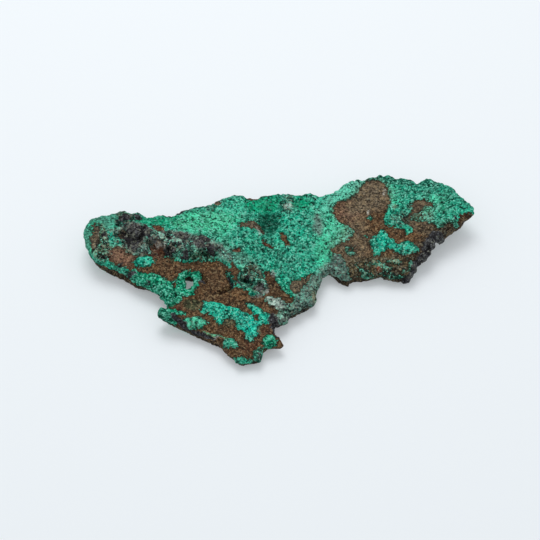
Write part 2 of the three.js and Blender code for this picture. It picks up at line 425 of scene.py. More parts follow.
class Tone(Enum):
    """The mineral tones, as display colours."""

    GREEN = "#249b7d"
    VIVID = "#048762"
    DEEP = "#04392b"
    TURQUOISE = "#12a488"
    BLUE_GREEN = "#1fb59c"
    MINT = "#50bf96"
    FROST = "#7ad8bc"
    YELLOW_GREEN = "#50c493"
    CAP_GREEN = "#42806c"
    DARK_GREEN = "#0a493b"
    # painted shade for the hollow
    SHADED_HOLLOW = "#004635"
    GREY = "#616e68"
    PALE_TEAL = "#748f87"
    PALE_GREY = "#a9b3ac"
    WHITE = "#cfd3cd"
    CREAM = "#a9ac96"
    OLIVE = "#464c35"
    BROWN = "#5c422c"
    GREY_BROWN = "#6f6250"
    DUN = "#605748"
    RED_BROWN = "#5f3829"
    PINK_BROWN = "#7a5b4b"
    UMBER = "#261c12"
    RUST = "#b0523a"
    BLACK = "#242126"
    VIOLET = "#18171b"
    ASH = "#b5b8bd"
    TAN = "#a08b68"

    def linear(self) -> Array:
        """The tone in linear light, by the display curve."""
        channels = np.array([int(self.value[i : i + 2], 16) for i in (1, 3, 5)]) / 255.0
        return np.where(channels < 0.04045, channels / 12.92, ((channels + 0.055) / 1.055) ** 2.4)


class Effect(Enum):
    """What a patch does to the surface."""

    CRUST = "the crust grows here"
    BARE = "the metal is bare here"
    OXIDE = "black oxide covers this"
    TINT = "only the colour changes"


@dataclass(frozen=True)
class Patch:
    """A patch of the surface: what it is, its tone and its outline in plan."""

    effect: Effect
    tone: Tone
    outline: Points
    cover: float = 1.0  # how strongly the tone replaces what is under it
    feather: float = 0.5  # width of the colour's fade at the edge
    grit: float | None = None  # how grainy the crust is here
    lump: float | None = None  # how lumpy the surface is here
    mottle: float | None = None  # how strongly clumps of dark and pale minerals show here
    scatter: float | None = None  # breaks it into spots where the scatter noise is above this


def oxide(outline: Points, lump: float | None = None, scatter: float | None = None) -> Patch:
    """A patch of the black oxide, which has one tone everywhere."""
    return Patch(Effect.OXIDE, Tone.VIOLET, outline, lump=lump, scatter=scatter)


CRUST, BARE, TINT = Effect.CRUST, Effect.BARE, Effect.TINT

# shades of the green crust over the back and the middle
GREEN_SHADES: tuple[Patch, ...] = (
    Patch(TINT, Tone.YELLOW_GREEN, oval(-20, 14.5, 19, 8), 0.65, 2.0),
    Patch(TINT, Tone.VIVID, ((-8, 18.5), (-8.5, 23), (-1, 24), (-0.5, 19.5)), 1.0, 0.8, grit=0.3),
    Patch(TINT, Tone.VIVID, oval(6, 21.5, 5.5, 5), 1.0, 0.8, grit=0.3),
    Patch(TINT, Tone.VIVID, ((-37, 12.5), (-36.5, 15.5), (-26.5, 17), (-29, 13.5), (-33, 12)), 1.0, 0.8,
          grit=0.5),
    Patch(TINT, Tone.MINT, ((12.5, 6.5), (12, 14), (19, 13.5), (15.5, 6.5)), 0.6, 1.5),
    Patch(TINT, Tone.MINT, oval(11.5, 5, 4, 11), 0.6, 1.5, grit=0.35),
    Patch(TINT, Tone.FROST, ((11, 19), (16, 27), (23.5, 29.5), (19, 23), (14.5, 19)), 0.45, 1.5),
    Patch(TINT, Tone.FROST, oval(21, 27, 4.5, 4), 0.6, 0.8),
    Patch(TINT, Tone.MINT, oval(31, 23.5, 3, 7.5), 0.6, 1.2),
    Patch(TINT, Tone.VIVID, oval(44.5, 20, 3.5, 6), 0.7, 1.2),
    Patch(TINT, Tone.DARK_GREEN, oval(39.5, 25.5, 5, 5.5), 0.5, 1.6),
    Patch(TINT, Tone.DARK_GREEN, ((-22, 6), (-15, 13), (-8, 12), (2, 8), (4, 2), (-1, -3), (-8, 2)), 0.5,
          0.7, scatter=0.1),
    Patch(TINT, Tone.DARK_GREEN, ((27, 12), (30, 26), (42, 27), (49, 20), (42, 16)), 0.45, 0.7,
          scatter=0.15),
    # painted shade: a deep dark green laid in the hollow
    Patch(TINT, Tone.SHADED_HOLLOW, oval(-2.5, 15, 6, 8), 1.0, 1.2, grit=0.25),
    Patch(TINT, Tone.GREY, oval(10.5, 14, 3, 8.5), 0.85, 0.9, grit=0.15),
    Patch(TINT, Tone.CAP_GREEN, ((-52, 11), (-50.5, 15), (-44, 18), (-42, 16.5), (-44, 11.5), (-46, 11.5),
          (-48, 13.5), (-50, 12)), 0.95, 0.7, grit=0.35),
    Patch(TINT, Tone.CAP_GREEN, oval(-51, 6, 4, 12), 0.8, 0.6, grit=0.5),
    # painted shade: a dark green patch at the left end
    Patch(TINT, Tone.DARK_GREEN, oval(-40.5, 13.5, 5.5, 5), 0.95, 0.6, lump=0.6, mottle=0.6),
    Patch(TINT, Tone.OLIVE, oval(-40.5, 17, 5.5, 4), 0.9, 0.5, mottle=0.5),
    Patch(TINT, Tone.OLIVE, ((-47.5, 12), (-45.5, 11), (-44, 5), (-43.5, 2.5), (-46, 1), (-48.5, 4),
          (-47.5, 7.5)), 0.9, 0.5, lump=0.7, mottle=1.0),
    Patch(TINT, Tone.DARK_GREEN, ((-11, 23), (-11.5, 26), (10, 26), (10, 24), (-4, 23.5)), 0.6, 0.6),
    Patch(TINT, Tone.DARK_GREEN, ((24, 29), (25, 33), (38, 31), (47, 28), (52, 20), (50, 19), (46, 24.5),
          (38, 26.5), (31, 28)), 0.7, 1.2),
    Patch(TINT, Tone.DARK_GREEN, ((-40, 16.5), (-38, 19), (-26, 20), (-12, 26), (-12, 23.5), (-19, 19.5),
          (-26, 17.5), (-32, 16)), 0.65, 0.9),
    Patch(TINT, Tone.DARK_GREEN, oval(2.5, 21, 3.5, 7), 0.75, 0.6, mottle=0.6),
    Patch(TINT, Tone.PALE_GREY, oval(2.5, 20.5, 2, 2), 0.7, 0.4),
    Patch(TINT, Tone.DARK_GREEN, oval(-18.5, 19, 3, 3), 0.7, 0.6, mottle=0.5),
    Patch(TINT, Tone.GREY, ((-45, 9.5), (-41, 12), (-37, 12.5), (-34.5, 9.5), (-28, 10.5), (-23, 10),
          (-15, 6.5), (-12.5, 4), (-11.5, 1.5), (-14.5, 2), (-17, 4), (-24, 3.5), (-30, 4), (-35, 3.5),
          (-40, 4)), 0.95, 0.9, lump=0.9, mottle=0.8),
    Patch(TINT, Tone.GREY, ((-15, 7), (-10, 5.5), (-6, 1), (-7, -1), (-11, 1.5)), 0.4, 1.4, mottle=0.3),
)

# bare metal
BARE_METAL: tuple[Patch, ...] = (
    Patch(BARE, Tone.BROWN, ((-34, 4), (-27.5, 3), (-26.5, 1.5), (-17.5, 2), (-16.5, 3), (-13, 0),
          (-12, 1.5), (-10, -2.5), (-11.5, -6), (-10, -6), (-6.5, -9), (-4, -8), (-3, -5), (-4, -2),
          (-2.5, -1.5), (-0.5, -5), (2, -8.5), (4, -9.5), (4, -11.5), (2, -12.5), (0.5, -18), (-1, -20.5),
          (2, -23), (1.5, -26), (-8, -33), (-16, -27), (-32, -20), (-32.5, -14), (-25, -10), (-26, -5),
          (-33, -5), (-41, 0), (-44, 1.5), (-44, 4.5), (-42, 5.5), (-39.5, 4), (-37.5, 3.5), (-35, 4.5))),
    Patch(BARE, Tone.DUN, oval(-48, 8.5, 2.5, 9)),
    Patch(BARE, Tone.DUN, oval(-41, 9, 3, 2.5)),
    Patch(BARE, Tone.RED_BROWN, oval(-31.5, 11.5, 3, 2.5)),
    Patch(BARE, Tone.RED_BROWN, oval(-31.5, 5, 4.5, 4.5), mottle=0.2),
    Patch(BARE, Tone.DUN, ((-10.5, 13), (-9, 15), (-6.5, 15.5), (-4.5, 13.5), (-4, 11), (-5.5, 12),
          (-7.5, 13))),
    Patch(BARE, Tone.BROWN, oval(1.5, 9.5, 5, 1.5, -65)),
    Patch(BARE, Tone.RED_BROWN, oval(-3, 7.5, 3.5, 1.5, -35)),
    Patch(BARE, Tone.RED_BROWN, oval(-11, 5.5, 3, 1.5)),
    Patch(BARE, Tone.RED_BROWN, oval(-7, 23.5, 3, 1.5)),
    Patch(BARE, Tone.GREY_BROWN, oval(-16.5, 21.5, 2, 2)),
    Patch(BARE, Tone.RUST, oval(0.5, 17, 0.5, 0.5)),
    Patch(BARE, Tone.BROWN, ((24, 29.5), (28.5, 29), (29.5, 26), (29.5, 20), (28, 15), (32, 15.5),
          (35, 18), (35.5, 20.5), (37, 22), (40.5, 20.5), (41, 19), (38.5, 19), (37, 15.5), (42.5, 12),
          (45, 12.5), (46.5, 11), (46, 5), (36, -6), (18, -7), (17.5, 1.5), (14, 4.5), (14, 6), (18, 9),
          (19.5, 10.5), (19.5, 12.5), (16, 15), (14.5, 19), (15.5, 21.5), (19, 22.5), (22.5, 27))),
    Patch(BARE, Tone.DUN, ((3, -7), (3.5, -4.5), (6, -3.5), (8.5, -2), (9, -3.5), (7, -5), (4.5, -8))),
    Patch(BARE, Tone.UMBER, ((47, 13), (48, 15.5), (53, 16), (52, 13), (48.5, 11)), 0.6),
)

# shades of the bare metal
METAL_SHADES: tuple[Patch, ...] = (
    Patch(TINT, Tone.PINK_BROWN, oval(-41, 3, 7.5, 5, -30), 0.9, 0.7),
    Patch(TINT, Tone.PINK_BROWN, oval(18.5, 18, 8, 7), 0.75, 1.5),
    Patch(TINT, Tone.GREY_BROWN, ((19, 17), (19, 22), (24, 29), (29, 28), (29, 20)), 0.85, 2.0,
          mottle=0.25),
    Patch(TINT, Tone.UMBER, oval(21, 23, 4, 2.5), 0.45, 0.8),
    Patch(TINT, Tone.GREY_BROWN, ((14, 4), (15, 9), (21, 16), (24, 11), (23, 3), (18, 1)), 0.6, 2.0,
          mottle=0.25),
    Patch(TINT, Tone.OLIVE, ((18.5, -2.5), (19.5, 3), (33, 3.5), (36, 2), (33, -3.5)), 0.6, 1.4, lump=0.3,
          mottle=0.6),
    Patch(TINT, Tone.UMBER, oval(28.5, -0.5, 7, 4), 0.8, 1.0, mottle=0.6),
    Patch(TINT, Tone.UMBER, oval(44.5, 10.5, 5.5, 3.5, 40), 0.8, 0.8),
    Patch(TINT, Tone.DUN, ((35, 20.5), (40.5, 20.5), (41, 13.5), (38.5, 10), (34, 14)), 0.7, 0.8),
    Patch(TINT, Tone.UMBER, ((30, 4), (36, 7), (42, 13.5), (47, 10.5), (41, 0), (36, -2)), 0.75, 1.6,
          mottle=0.4),
    Patch(TINT, Tone.UMBER, ((-20.5, -4), (-16, -3), (-13, -8), (-14, -11), (-19, -9.5)), 0.3, 1.5),
    Patch(TINT, Tone.UMBER, ((-3, -3), (-1, -3), (3.5, -11), (1, -11.5), (-2.5, -9)), 0.35, 1.0),
    Patch(TINT, Tone.OLIVE, oval(-20, 3, 6, 2), 0.7, 0.4, lump=0.6, mottle=0.6),
    Patch(TINT, Tone.RED_BROWN, oval(-27, -13.5, 5, 3), 0.8),
    Patch(TINT, Tone.RED_BROWN, ((-8, -22.5), (-8.5, -26), (-4, -26), (0, -19), (-2, -17.5)), 0.5, 1.2),
)

# crust on the bare metal
CRUST_ON_METAL: tuple[Patch, ...] = (
    Patch(CRUST, Tone.VIVID, ((-39, -2), (-37, -1), (-34, -2.5), (-32, -2), (-28, -4.5), (-26, -3),
          (-24.5, -1), (-22, -1), (-20, -2), (-19.5, -3), (-21.5, -6.5), (-22, -9), (-25, -10),
          (-25.5, -12), (-29, -14), (-33, -12), (-39, -5))),
    Patch(TINT, Tone.DARK_GREEN, ((-38, -3), (-30, -6), (-26, -8), (-28, -14), (-32, -12), (-38, -6)),
          0.45, 0.8),
    Patch(BARE, Tone.UMBER, oval(-27, -6, 1, 1.5)),
    Patch(CRUST, Tone.TURQUOISE, ((-48.5, 2.5), (-44.5, 1.5), (-39, -1), (-39, -2), (-40, -3), (-46, -1),
          (-48.5, 0.5)), 0.5),
    Patch(TINT, Tone.DARK_GREEN, ((-49, 2), (-44, 0), (-38, -2), (-40, -4), (-48, -1)), 0.5, 0.8),
    Patch(CRUST, Tone.TURQUOISE, ((-45, 9.5), (-43, 10), (-41, 7), (-41, 6), (-42.5, 6), (-44, 7))),
    Patch(CRUST, Tone.TURQUOISE, oval(-35, 1.5, 5.5, 3.5, 5), 0.9),
    Patch(CRUST, Tone.DARK_GREEN, ((-13.5, -1), (-11.5, -4), (-11.5, -6), (-12.5, -7.5), (-12.5, -5))),
    Patch(CRUST, Tone.VIVID, ((-30.5, -14), (-24, -14.5), (-24, -16), (-26, -16), (-26, -19),
          (-31.5, -18), (-32, -15.5))),
    Patch(TINT, Tone.DARK_GREEN, oval(-29, -17, 6, 4), 0.6, 0.6),
    Patch(CRUST, Tone.MINT, ((-22.5, -16.5), (-20.5, -15.5), (-18, -17), (-18, -18), (-19.5, -18.5),
          (-20, -19.5), (-23.5, -19), (-24, -17)), 0.6, mottle=0.4),
    Patch(CRUST, Tone.TURQUOISE, ((-20, -14), (-19.5, -12), (-18.5, -11), (-13, -12), (-10, -14),
          (-7, -15), (-6, -16.5), (-4, -17), (-4.5, -18.5), (-5.5, -19.5), (-5.5, -22), (-7, -23.5),
          (-8.5, -22), (-9, -20), (-11, -19), (-11.5, -17), (-14, -16), (-14, -18.5), (-15.5, -18.5),
          (-17.5, -15))),
    Patch(CRUST, Tone.TURQUOISE, ((-8, -11.5), (-6, -12), (-4, -14.5), (-2, -15.5), (-2.5, -17.5),
          (-4.5, -17.5), (-7.5, -13))),
    Patch(TINT, Tone.DARK_GREEN, oval(-13, -17, 3.5, 3.5), 0.6, 0.7),
    Patch(TINT, Tone.BLUE_GREEN, ((-11, -14.5), (-5, -17.5), (-6, -22), (-8, -21.5)), 0.7, 0.9),
    Patch(BARE, Tone.RED_BROWN, oval(-6, -15.5, 1, 1.5)),
    Patch(CRUST, Tone.VIVID, oval(-2.5, -23.5, 4, 4)),
    Patch(CRUST, Tone.DARK_GREEN, oval(-5, -27.5, 3, 4.5), 0.9, mottle=0.3),
    Patch(CRUST, Tone.GREEN, ((-10, -28), (-6, -29), (-6.5, -31.5), (-10.5, -31.5)), 0.8),
    Patch(CRUST, Tone.CAP_GREEN, ((-13.5, -28), (-11.5, -27.5), (-10, -29), (-10, -31), (-13.5, -28.5)),
          0.9),
    Patch(CRUST, Tone.GREEN, oval(-12, -24, 4, 3, -30), 0.9, mottle=0.4),
    Patch(CRUST, Tone.GREEN, ((-31, -17.5), (-26, -19), (-19, -23), (-14, -27), (-15, -27.5),
          (-22.5, -22), (-31, -19))),
    Patch(CRUST, Tone.TURQUOISE, ((24, 8.5), (25, 10), (26, 10), (26, 11.5), (27.5, 12), (29, 9.5),
          (31.5, 7.5), (33.5, 8), (36.5, 6), (36, 4.5), (33, 3.5), (29, 6), (26.5, 4), (25, 4.5)), 0.85),
    Patch(CRUST, Tone.GREEN, ((28, 15.5), (29.5, 19), (33.5, 19), (35, 18), (33.5, 16), (33.5, 14),
          (35.5, 12.5), (34, 10.5), (32, 12.5), (29, 13.5))),
    Patch(TINT, Tone.DARK_GREEN, oval(32.5, 15.5, 5, 5), 0.7, 1.0, mottle=0.6),
    Patch(TINT, Tone.GREY_BROWN, oval(31, 19.5, 2, 1.5), 0.7, 0.4),
    Patch(CRUST, Tone.OLIVE, oval(37, 16, 3.5, 2.5), 0.8, 0.5, lump=0.4, mottle=0.6),
    Patch(CRUST, Tone.MINT, oval(39.5, 17.5, 3, 1.5), 0.5),
    Patch(CRUST, Tone.DARK_GREEN, oval(24.5, 16, 1.5, 1.5), 0.9),
    Patch(CRUST, Tone.GREEN, oval(23, 10, 1, 1)),
    Patch(CRUST, Tone.DARK_GREEN, oval(19, 5.5, 3.5, 3.5), 0.8, mottle=0.5, scatter=0.0),
)

# grey and olive crust at the waist and on the tongue
GREY_CRUST: tuple[Patch, ...] = (
    Patch(CRUST, Tone.GREY, ((14.5, 4.5), (17, 3.5), (18, -1.5), (20, -3), (20, -6.5), (16, -7), (13, -3),
          (10.5, -1), (13.5, 2.5)), 0.95, 0.9, grit=0.5, mottle=0.4),
    Patch(CRUST, Tone.GREY, ((12, -1.5), (12.5, -4), (10, -13), (4, -18.5), (0, -20.5), (-1.5, -15),
          (1, -15.5), (3.5, -13.5), (4, -9.5), (6.5, -5.5), (9.5, -2)), 0.9, 0.6, grit=0.5, lump=0.4,
          mottle=0.4),
    Patch(TINT, Tone.OLIVE, ((9.5, -3.5), (10.5, -8), (9, -14), (3, -19), (-1, -20), (5, -15),
          (8.5, -11)), 0.5, 0.8),
    Patch(TINT, Tone.TAN, oval(9, -9, 1, 3), 0.5, 0.4),
    Patch(CRUST, Tone.DARK_GREEN, ((19.5, -2.5), (23, -1.5), (28, -2), (34, -2.5), (34, -6), (19, -6)),
          0.9, 0.5, grit=0.7, mottle=0.3),
    Patch(CRUST, Tone.DARK_GREEN, ((20, -2), (19, 1), (25, 2), (34, 2.5), (34, -2)), 0.8, mottle=0.5,
          scatter=0.22),
    Patch(CRUST, Tone.DARK_GREEN, ((22, 0), (24, 5), (33, 4), (32, 0)), 0.6, mottle=0.4, scatter=0.55),
    Patch(TINT, Tone.TAN, ((19, 0), (22, 4), (31, 4), (33, -1), (24, -1)), 0.5, 0.3, scatter=0.5),
    Patch(BARE, Tone.OLIVE, oval(-22, -12, 4.5, 4), 1.0, 0.5, lump=0.3),
    Patch(CRUST, Tone.PALE_GREY, ((-3.5, -9.5), (0, -10), (2.5, -12.5), (1, -13), (-1, -13), (-3, -11)),
          0.85, 0.5, grit=0.3, mottle=0.5),
    Patch(BARE, Tone.UMBER, oval(-1.5, -12.5, 1.5, 1)),
    Patch(CRUST, Tone.GREY, ((1, -12), (4.5, -12), (7, -13.5), (6, -17), (2, -17.5), (-1, -16),
          (-0.5, -14)), 0.7, 0.6, grit=0.6, lump=0.7, mottle=0.9),
    Patch(TINT, Tone.WHITE, oval(-1.5, -2.5, 1, 2), 0.7, 0.4),
    Patch(TINT, Tone.WHITE, oval(-5.5, 12, 3.5, 0.5, -70), 0.9, 0.3),
)

# vug: a dark cavity with pale rims
CAVITY: tuple[Patch, ...] = (
    Patch(CRUST, Tone.DARK_GREEN, ((-10.5, -2), (-9, 0.5), (-6.5, 1.5), (-3.5, -3), (-3.5, -7.5),
          (-5.5, -9), (-10, -5.5)), 1.0, 0.6, lump=0.8, mottle=0.7),
    Patch(TINT, Tone.OLIVE, oval(-7, -0.5, 4.5, 3), 0.7, 0.4),
    Patch(TINT, Tone.MINT, oval(-9.5, -0.5, 1, 2), 0.8, 0.4),
    Patch(TINT, Tone.RED_BROWN, oval(-6, -1, 1.5, 2.5), 0.8, 0.4),
    oxide(oval(-8, -3, 2.5, 1.5)),
    Patch(TINT, Tone.TAN, oval(-5.5, -3, 2.5, 1, -15), 0.75, 0.25),
    Patch(TINT, Tone.MINT, oval(-9, -4.5, 2, 1), 0.85, 0.3),
    Patch(CRUST, Tone.VIVID, oval(-7, -7, 2.5, 2), 0.9, 0.3),
    oxide(oval(-5, -6.5, 2.5, 3.5)),
    Patch(TINT, Tone.PALE_GREY, ((-4, -4.5), (-2.5, -7.5), (-5.5, -9.5), (-7, -9), (-5, -8.5),
          (-3.5, -7)), 0.85, 0.35),
    oxide(oval(-10.5, -4.5, 1, 1.5)),
)

# black oxide
BLACK_OXIDE: tuple[Patch, ...] = (
    oxide(oval(-37.5, 15.5, 2, 2.5), scatter=-0.5),
    oxide(oval(-27.5, 17.5, 6, 2.5, 25), scatter=-0.5),
    oxide(((-40.5, 7), (-40, 12.5), (-36.5, 12.5), (-34, 9.5), (-38, 4)), lump=1.0, scatter=-0.4),
    Patch(TINT, Tone.PALE_TEAL, oval(-36, 5, 4, 3.5), 0.7, 0.5, lump=0.8),
    Patch(TINT, Tone.PALE_TEAL, oval(-30, 8, 4, 4), 0.5, 0.5, lump=0.9, mottle=1.0),
    oxide(oval(-25.5, 8.5, 4, 3), lump=1.0, scatter=-0.6),
    oxide(oval(-27, 6, 2.5, 1.5, -30), lump=1.0, scatter=-0.4),
    Patch(TINT, Tone.PALE_TEAL, oval(-25, 5.5, 2.5, 3), 0.8, 0.4, lump=1.0),
    oxide(((-22.5, 8.5), (-19.5, 8.5), (-16.5, 3), (-20, 4), (-22, 5.5)), lump=1.0, scatter=-0.6),
    Patch(TINT, Tone.DARK_GREEN, oval(-23, 4.5, 2.5, 3), 0.8, 0.5),
    oxide(oval(-28.5, 4.5, 3, 2.5), lump=1.0, scatter=-0.5),
    oxide(((-36, 6.5), (-34, 9.5), (-20, 9), (-16, 4), (-24, 4.5), (-31, 6.5)), lump=1.0, scatter=0.12),
    Patch(TINT, Tone.OLIVE, oval(-27.5, 2.5, 2, 2.5), 0.9, 0.3),
    oxide(oval(-24.5, 3, 3, 1)),
    oxide(oval(-46, 6, 4, 8), scatter=0.35),
    oxide(oval(-40.5, 14, 5, 5), scatter=0.05),
    Patch(TINT, Tone.WHITE, ((-40, 6), (-38, 11.5), (-18, 8.5), (-17, 5.5)), 0.6, 0.3, scatter=0.45),
    oxide(oval(-41, 0, 1.5, 1)),
    oxide(oval(-38, -2.5, 3, 1.5)),
    oxide(oval(-33.5, -5, 1.5, 1)),
    oxide(oval(-19.5, -4, 1.5, 2)),
    oxide(((-27, -16), (-25.5, -16), (-22, -19.5), (-16.5, -21.5), (-16.5, -23), (-22.5, -20.5),
          (-26.5, -17.5))),
    Patch(TINT, Tone.MINT, ((-19, -20), (-13.5, -22), (-13.5, -22.5), (-19, -20.5)), 0.8, 0.25),
    Patch(TINT, Tone.WHITE, oval(-16, -22.5, 1.5, 0.5, 50), 0.9, 0.25),
    oxide(((32, -5.5), (33.5, -0.5), (37, 4.5), (38.5, 8), (41.5, 8.5), (44, 8), (41, 0), (38, -4)),
          lump=0.9),
    oxide(oval(41, 8.5, 5, 4), lump=0.8),
    oxide(oval(46.5, 14, 1, 1.5)),
    oxide(oval(18.5, -5.5, 2, 1.5), lump=0.8),
    oxide(((-2.5, -15), (-0.5, -16), (0.5, -18.5), (-0.5, -20.5), (-2, -20))),
    oxide(oval(-0.5, -22, 1.5, 1)),
    oxide(oval(-5, -27.5, 1, 1.5)),
    oxide(((-13.5, -1.5), (-12, -4.5), (-12.5, -6), (-15.5, -9), (-13, -6.5), (-13, -4.5))),
    Patch(TINT, Tone.RUST, oval(26, 0, 1.5, 1), 0.85, 0.3),
    Patch(TINT, Tone.WHITE, oval(24, 18, 0.5, 1.5), 0.7, 0.3),
    Patch(TINT, Tone.WHITE, oval(28.5, 25, 0.5, 2), 0.6, 0.3),
)

PATCHES: tuple[Patch, ...] = (
    *GREEN_SHADES, *BARE_METAL, *METAL_SHADES, *CRUST_ON_METAL, *GREY_CRUST, *CAVITY, *BLACK_OXIDE,
)


# --- Painting the surface ---------------------------------------------------------------------------------


def shades_of_green(points: Array) -> Array:
    """Green that drifts slowly towards mint and towards a deep vivid green.

    Args:
        points: The vertices in millimetres, one row each.

    Returns:
        One colour for each vertex, in linear light.
    """
    drift = fractal(points, 7.0, 3, 87)[:, None]
    green, pale, deep = (tone.linear() for tone in (Tone.GREEN, Tone.MINT, Tone.VIVID))
    paler, deeper = 0.6 * smooth_step(0.1, 0.8, drift), 0.7 * smooth_step(-0.1, -0.8, drift)
    return green + paler * (pale - green) + deeper * (deep - green)


@dataclass
class Paint:
    """What the material reads at each vertex: the mineral zones, their tones and their texture."""

    crust: Array  # distance inside the crust in millimetres, negative on bare metal
    oxide: Array  # distance inside the black oxide in millimetres, negative outside it
    crust_tone: Array
    bare_tone: Array
    grit: Array
    lump: Array
    mottle: Array
    spots: Array  # the noise that scattered patches follow
    rise: Array  # how high the surface stands out of its surroundings, from -1.5 to 1; the material paints shade and highlight from it

    @classmethod
    def plain(cls, points: Array) -> "Paint":
        """Green crust everywhere, over brown metal."""
        count = len(points)
        return cls(
            crust=np.full(count, REACH),
            oxide=np.full(count, -REACH),
            crust_tone=shades_of_green(points),
            bare_tone=np.tile(Tone.BROWN.linear(), (count, 1)),
            grit=np.ones(count),
            lump=np.zeros(count),
            mottle=np.zeros(count),
            spots=fractal(points, 1.9, 3, 91),
            rise=np.zeros(count),
        )

    def lay(self, patch: Patch, places: Array) -> None:
        """Lays one patch over what is there: its zone by distance, its tone and texture by a faded mask.

        Args:
            patch: The patch.
            places: The vertices' places on the paint's plan.
        """
        chain = rounded(patch.outline, 3)
        near = np.all((places > chain.min(axis=0) - REACH) & (places < chain.max(axis=0) + REACH), axis=1)
        depth = np.clip(within(chain, places[near]), -REACH, REACH)
        if patch.scatter is not None:
            depth = np.minimum(depth, 2.0 * (self.spots[near] - patch.scatter))
        if patch.effect is Effect.CRUST:
            self.crust[near] = np.maximum(self.crust[near], depth)
        if patch.effect is Effect.BARE:
            self.crust[near] = np.minimum(self.crust[near], -depth)
        if patch.effect is Effect.OXIDE:
            self.oxide[near] = np.maximum(self.oxide[near], depth)
        mask = smooth_step(-patch.feather, patch.feather, depth)
        cover = (patch.cover * mask)[:, None]
        if patch.effect in (Effect.CRUST, Effect.TINT):
            self.crust_tone[near] += cover * (patch.tone.linear() - self.crust_tone[near])
        if patch.effect in (Effect.BARE, Effect.TINT):
            self.bare_tone[near] += cover * (patch.tone.linear() - self.bare_tone[near])
        for name in ("grit", "lump", "mottle"):
            wanted, now = getattr(patch, name), getattr(self, name)
            if wanted is not None:
                now[near] += mask * (wanted - now[near])

    def mix(self, other: "Paint", share: Array) -> None:
        """Blends another paint over this one, share 0 keeping this one and 1 taking the other."""
        for name in ("crust", "oxide", "grit", "lump", "mottle"):
            setattr(self, name, getattr(self, name) * (1 - share) + getattr(other, name) * share)
        for name in ("crust_tone", "bare_tone"):
            now = getattr(self, name)
            setattr(self, name, now + share[:, None] * (getattr(other, name) - now))


def under_paint(points: Array) -> Paint:
    """The under face's zones: noise fields that cross a level give islands of crust, metal and oxide.

    Args:
        points: The vertices in millimetres, one row each.

    Returns:
        The paint, one value for each vertex.
    """
    paint = Paint.plain(points)
    paint.crust = 3.2 * fractal(points, 9.0, 3, 71) + 0.7
    paint.oxide = 3.0 * fractal(points, 8.0, 3, 75) - 1.7
    shade = smooth_step(-0.5, 0.5, fractal(points, 11.0, 2, 79))[:, None]
    deep, pale = Tone.DARK_GREEN.linear(), Tone.GREEN.linear()
    paint.crust_tone = deep + shade * (pale - deep)
    dull, warm = Tone.UMBER.linear(), Tone.BROWN.linear()
    paint.bare_tone = dull + shade * (warm - dull)
    paint.lump = smooth_step(0.0, 0.6, fractal(points, 13.0, 2, 83))
    return paint


# --- The sheet's surface ----------------------------------------------------------------------------------


def border_edges(triangles: Array) -> Array:
    """The sides that only one triangle has, in that triangle's direction.

    Args:
        triangles: Vertex numbers, three to a row.

    Returns:
        Vertex numbers, two to a row.
    """
    edges = np.concatenate([triangles[:, [0, 1]], triangles[:, [1, 2]], triangles[:, [2, 0]]])
    count = int(triangles.max()) + 1
    return edges[~np.isin(edges[:, 0] * count + edges[:, 1], edges[:, 1] * count + edges[:, 0])]


def without_pinches(triangles: Array) -> Array:
    """Takes away the triangles at vertices where the border passes twice, until there are none.

    Args:
        triangles: Vertex numbers, three to a row.

    Returns:
        The triangles that stay.
    """
    pinched = np.zeros(1, dtype=int)
    while len(pinched):
        starts, counts = np.unique(border_edges(triangles)[:, 0], return_counts=True)
        pinched = starts[counts > 1]
        triangles = triangles[~np.isin(triangles, pinched).any(axis=1)]
    return triangles


def outward(places: Array, border: Array, rim: Array) -> Array:
    """Unit plan directions out of the rim: the sum of the right-hand sides of the border's two edges.

    Args:
        places: Plan places, one row each.
        border: The border's edges, two vertex numbers to a row.
        rim: The border's vertex numbers, in rising order.

    Returns:
        One direction for each vertex of the rim.
    """
    run = places[border[:, 1]] - places[border[:, 0]]
    right = np.column_stack([run[:, 1], -run[:, 0]])
    ends = border.T.ravel()
    sums = [np.bincount(ends, np.tile(right[:, axis], 2), len(places))[rim] for axis in range(2)]
    out = np.stack(sums, axis=1)
    return out / np.maximum(np.linalg.norm(out, axis=1, keepdims=True), 1e-9)


def vertex_normals(vertices: Array, triangles: Array) -> Array:
    """Unit normals: the sum of the cross products of the triangles round each vertex, made one long.

    Args:
        vertices: Places, one row each.
        triangles: Vertex numbers, three to a row.

    Returns:
        One normal for each vertex.
    """
    a, b, c = (vertices[triangles[:, corner]] for corner in range(3))
    cross = np.repeat(np.cross(b - a, c - a), 3, axis=0)
    sums = [np.bincount(triangles.ravel(), cross[:, axis], len(vertices)) for axis in range(3)]
    total = np.stack(sums, axis=1)
    return total / np.maximum(np.linalg.norm(total, axis=1, keepdims=True), 1e-12)


@dataclass(frozen=True)
class Knobs:
    """Round forms that stand on the surface, in millimetres."""

    size: float  # spacing
    height: float
    sink: float  # how far the places between them lie below the face
    seed: int

    def forms(self, points: Array) -> Array:
        """The forms at the points, 1 on their tops and about 0 between them."""
        return knobs(points, self.size, self.seed)

    def relief(self, forms: Array) -> Array:
        """Heights of the forms, in millimetres."""
        return self.height * forms - self.sink


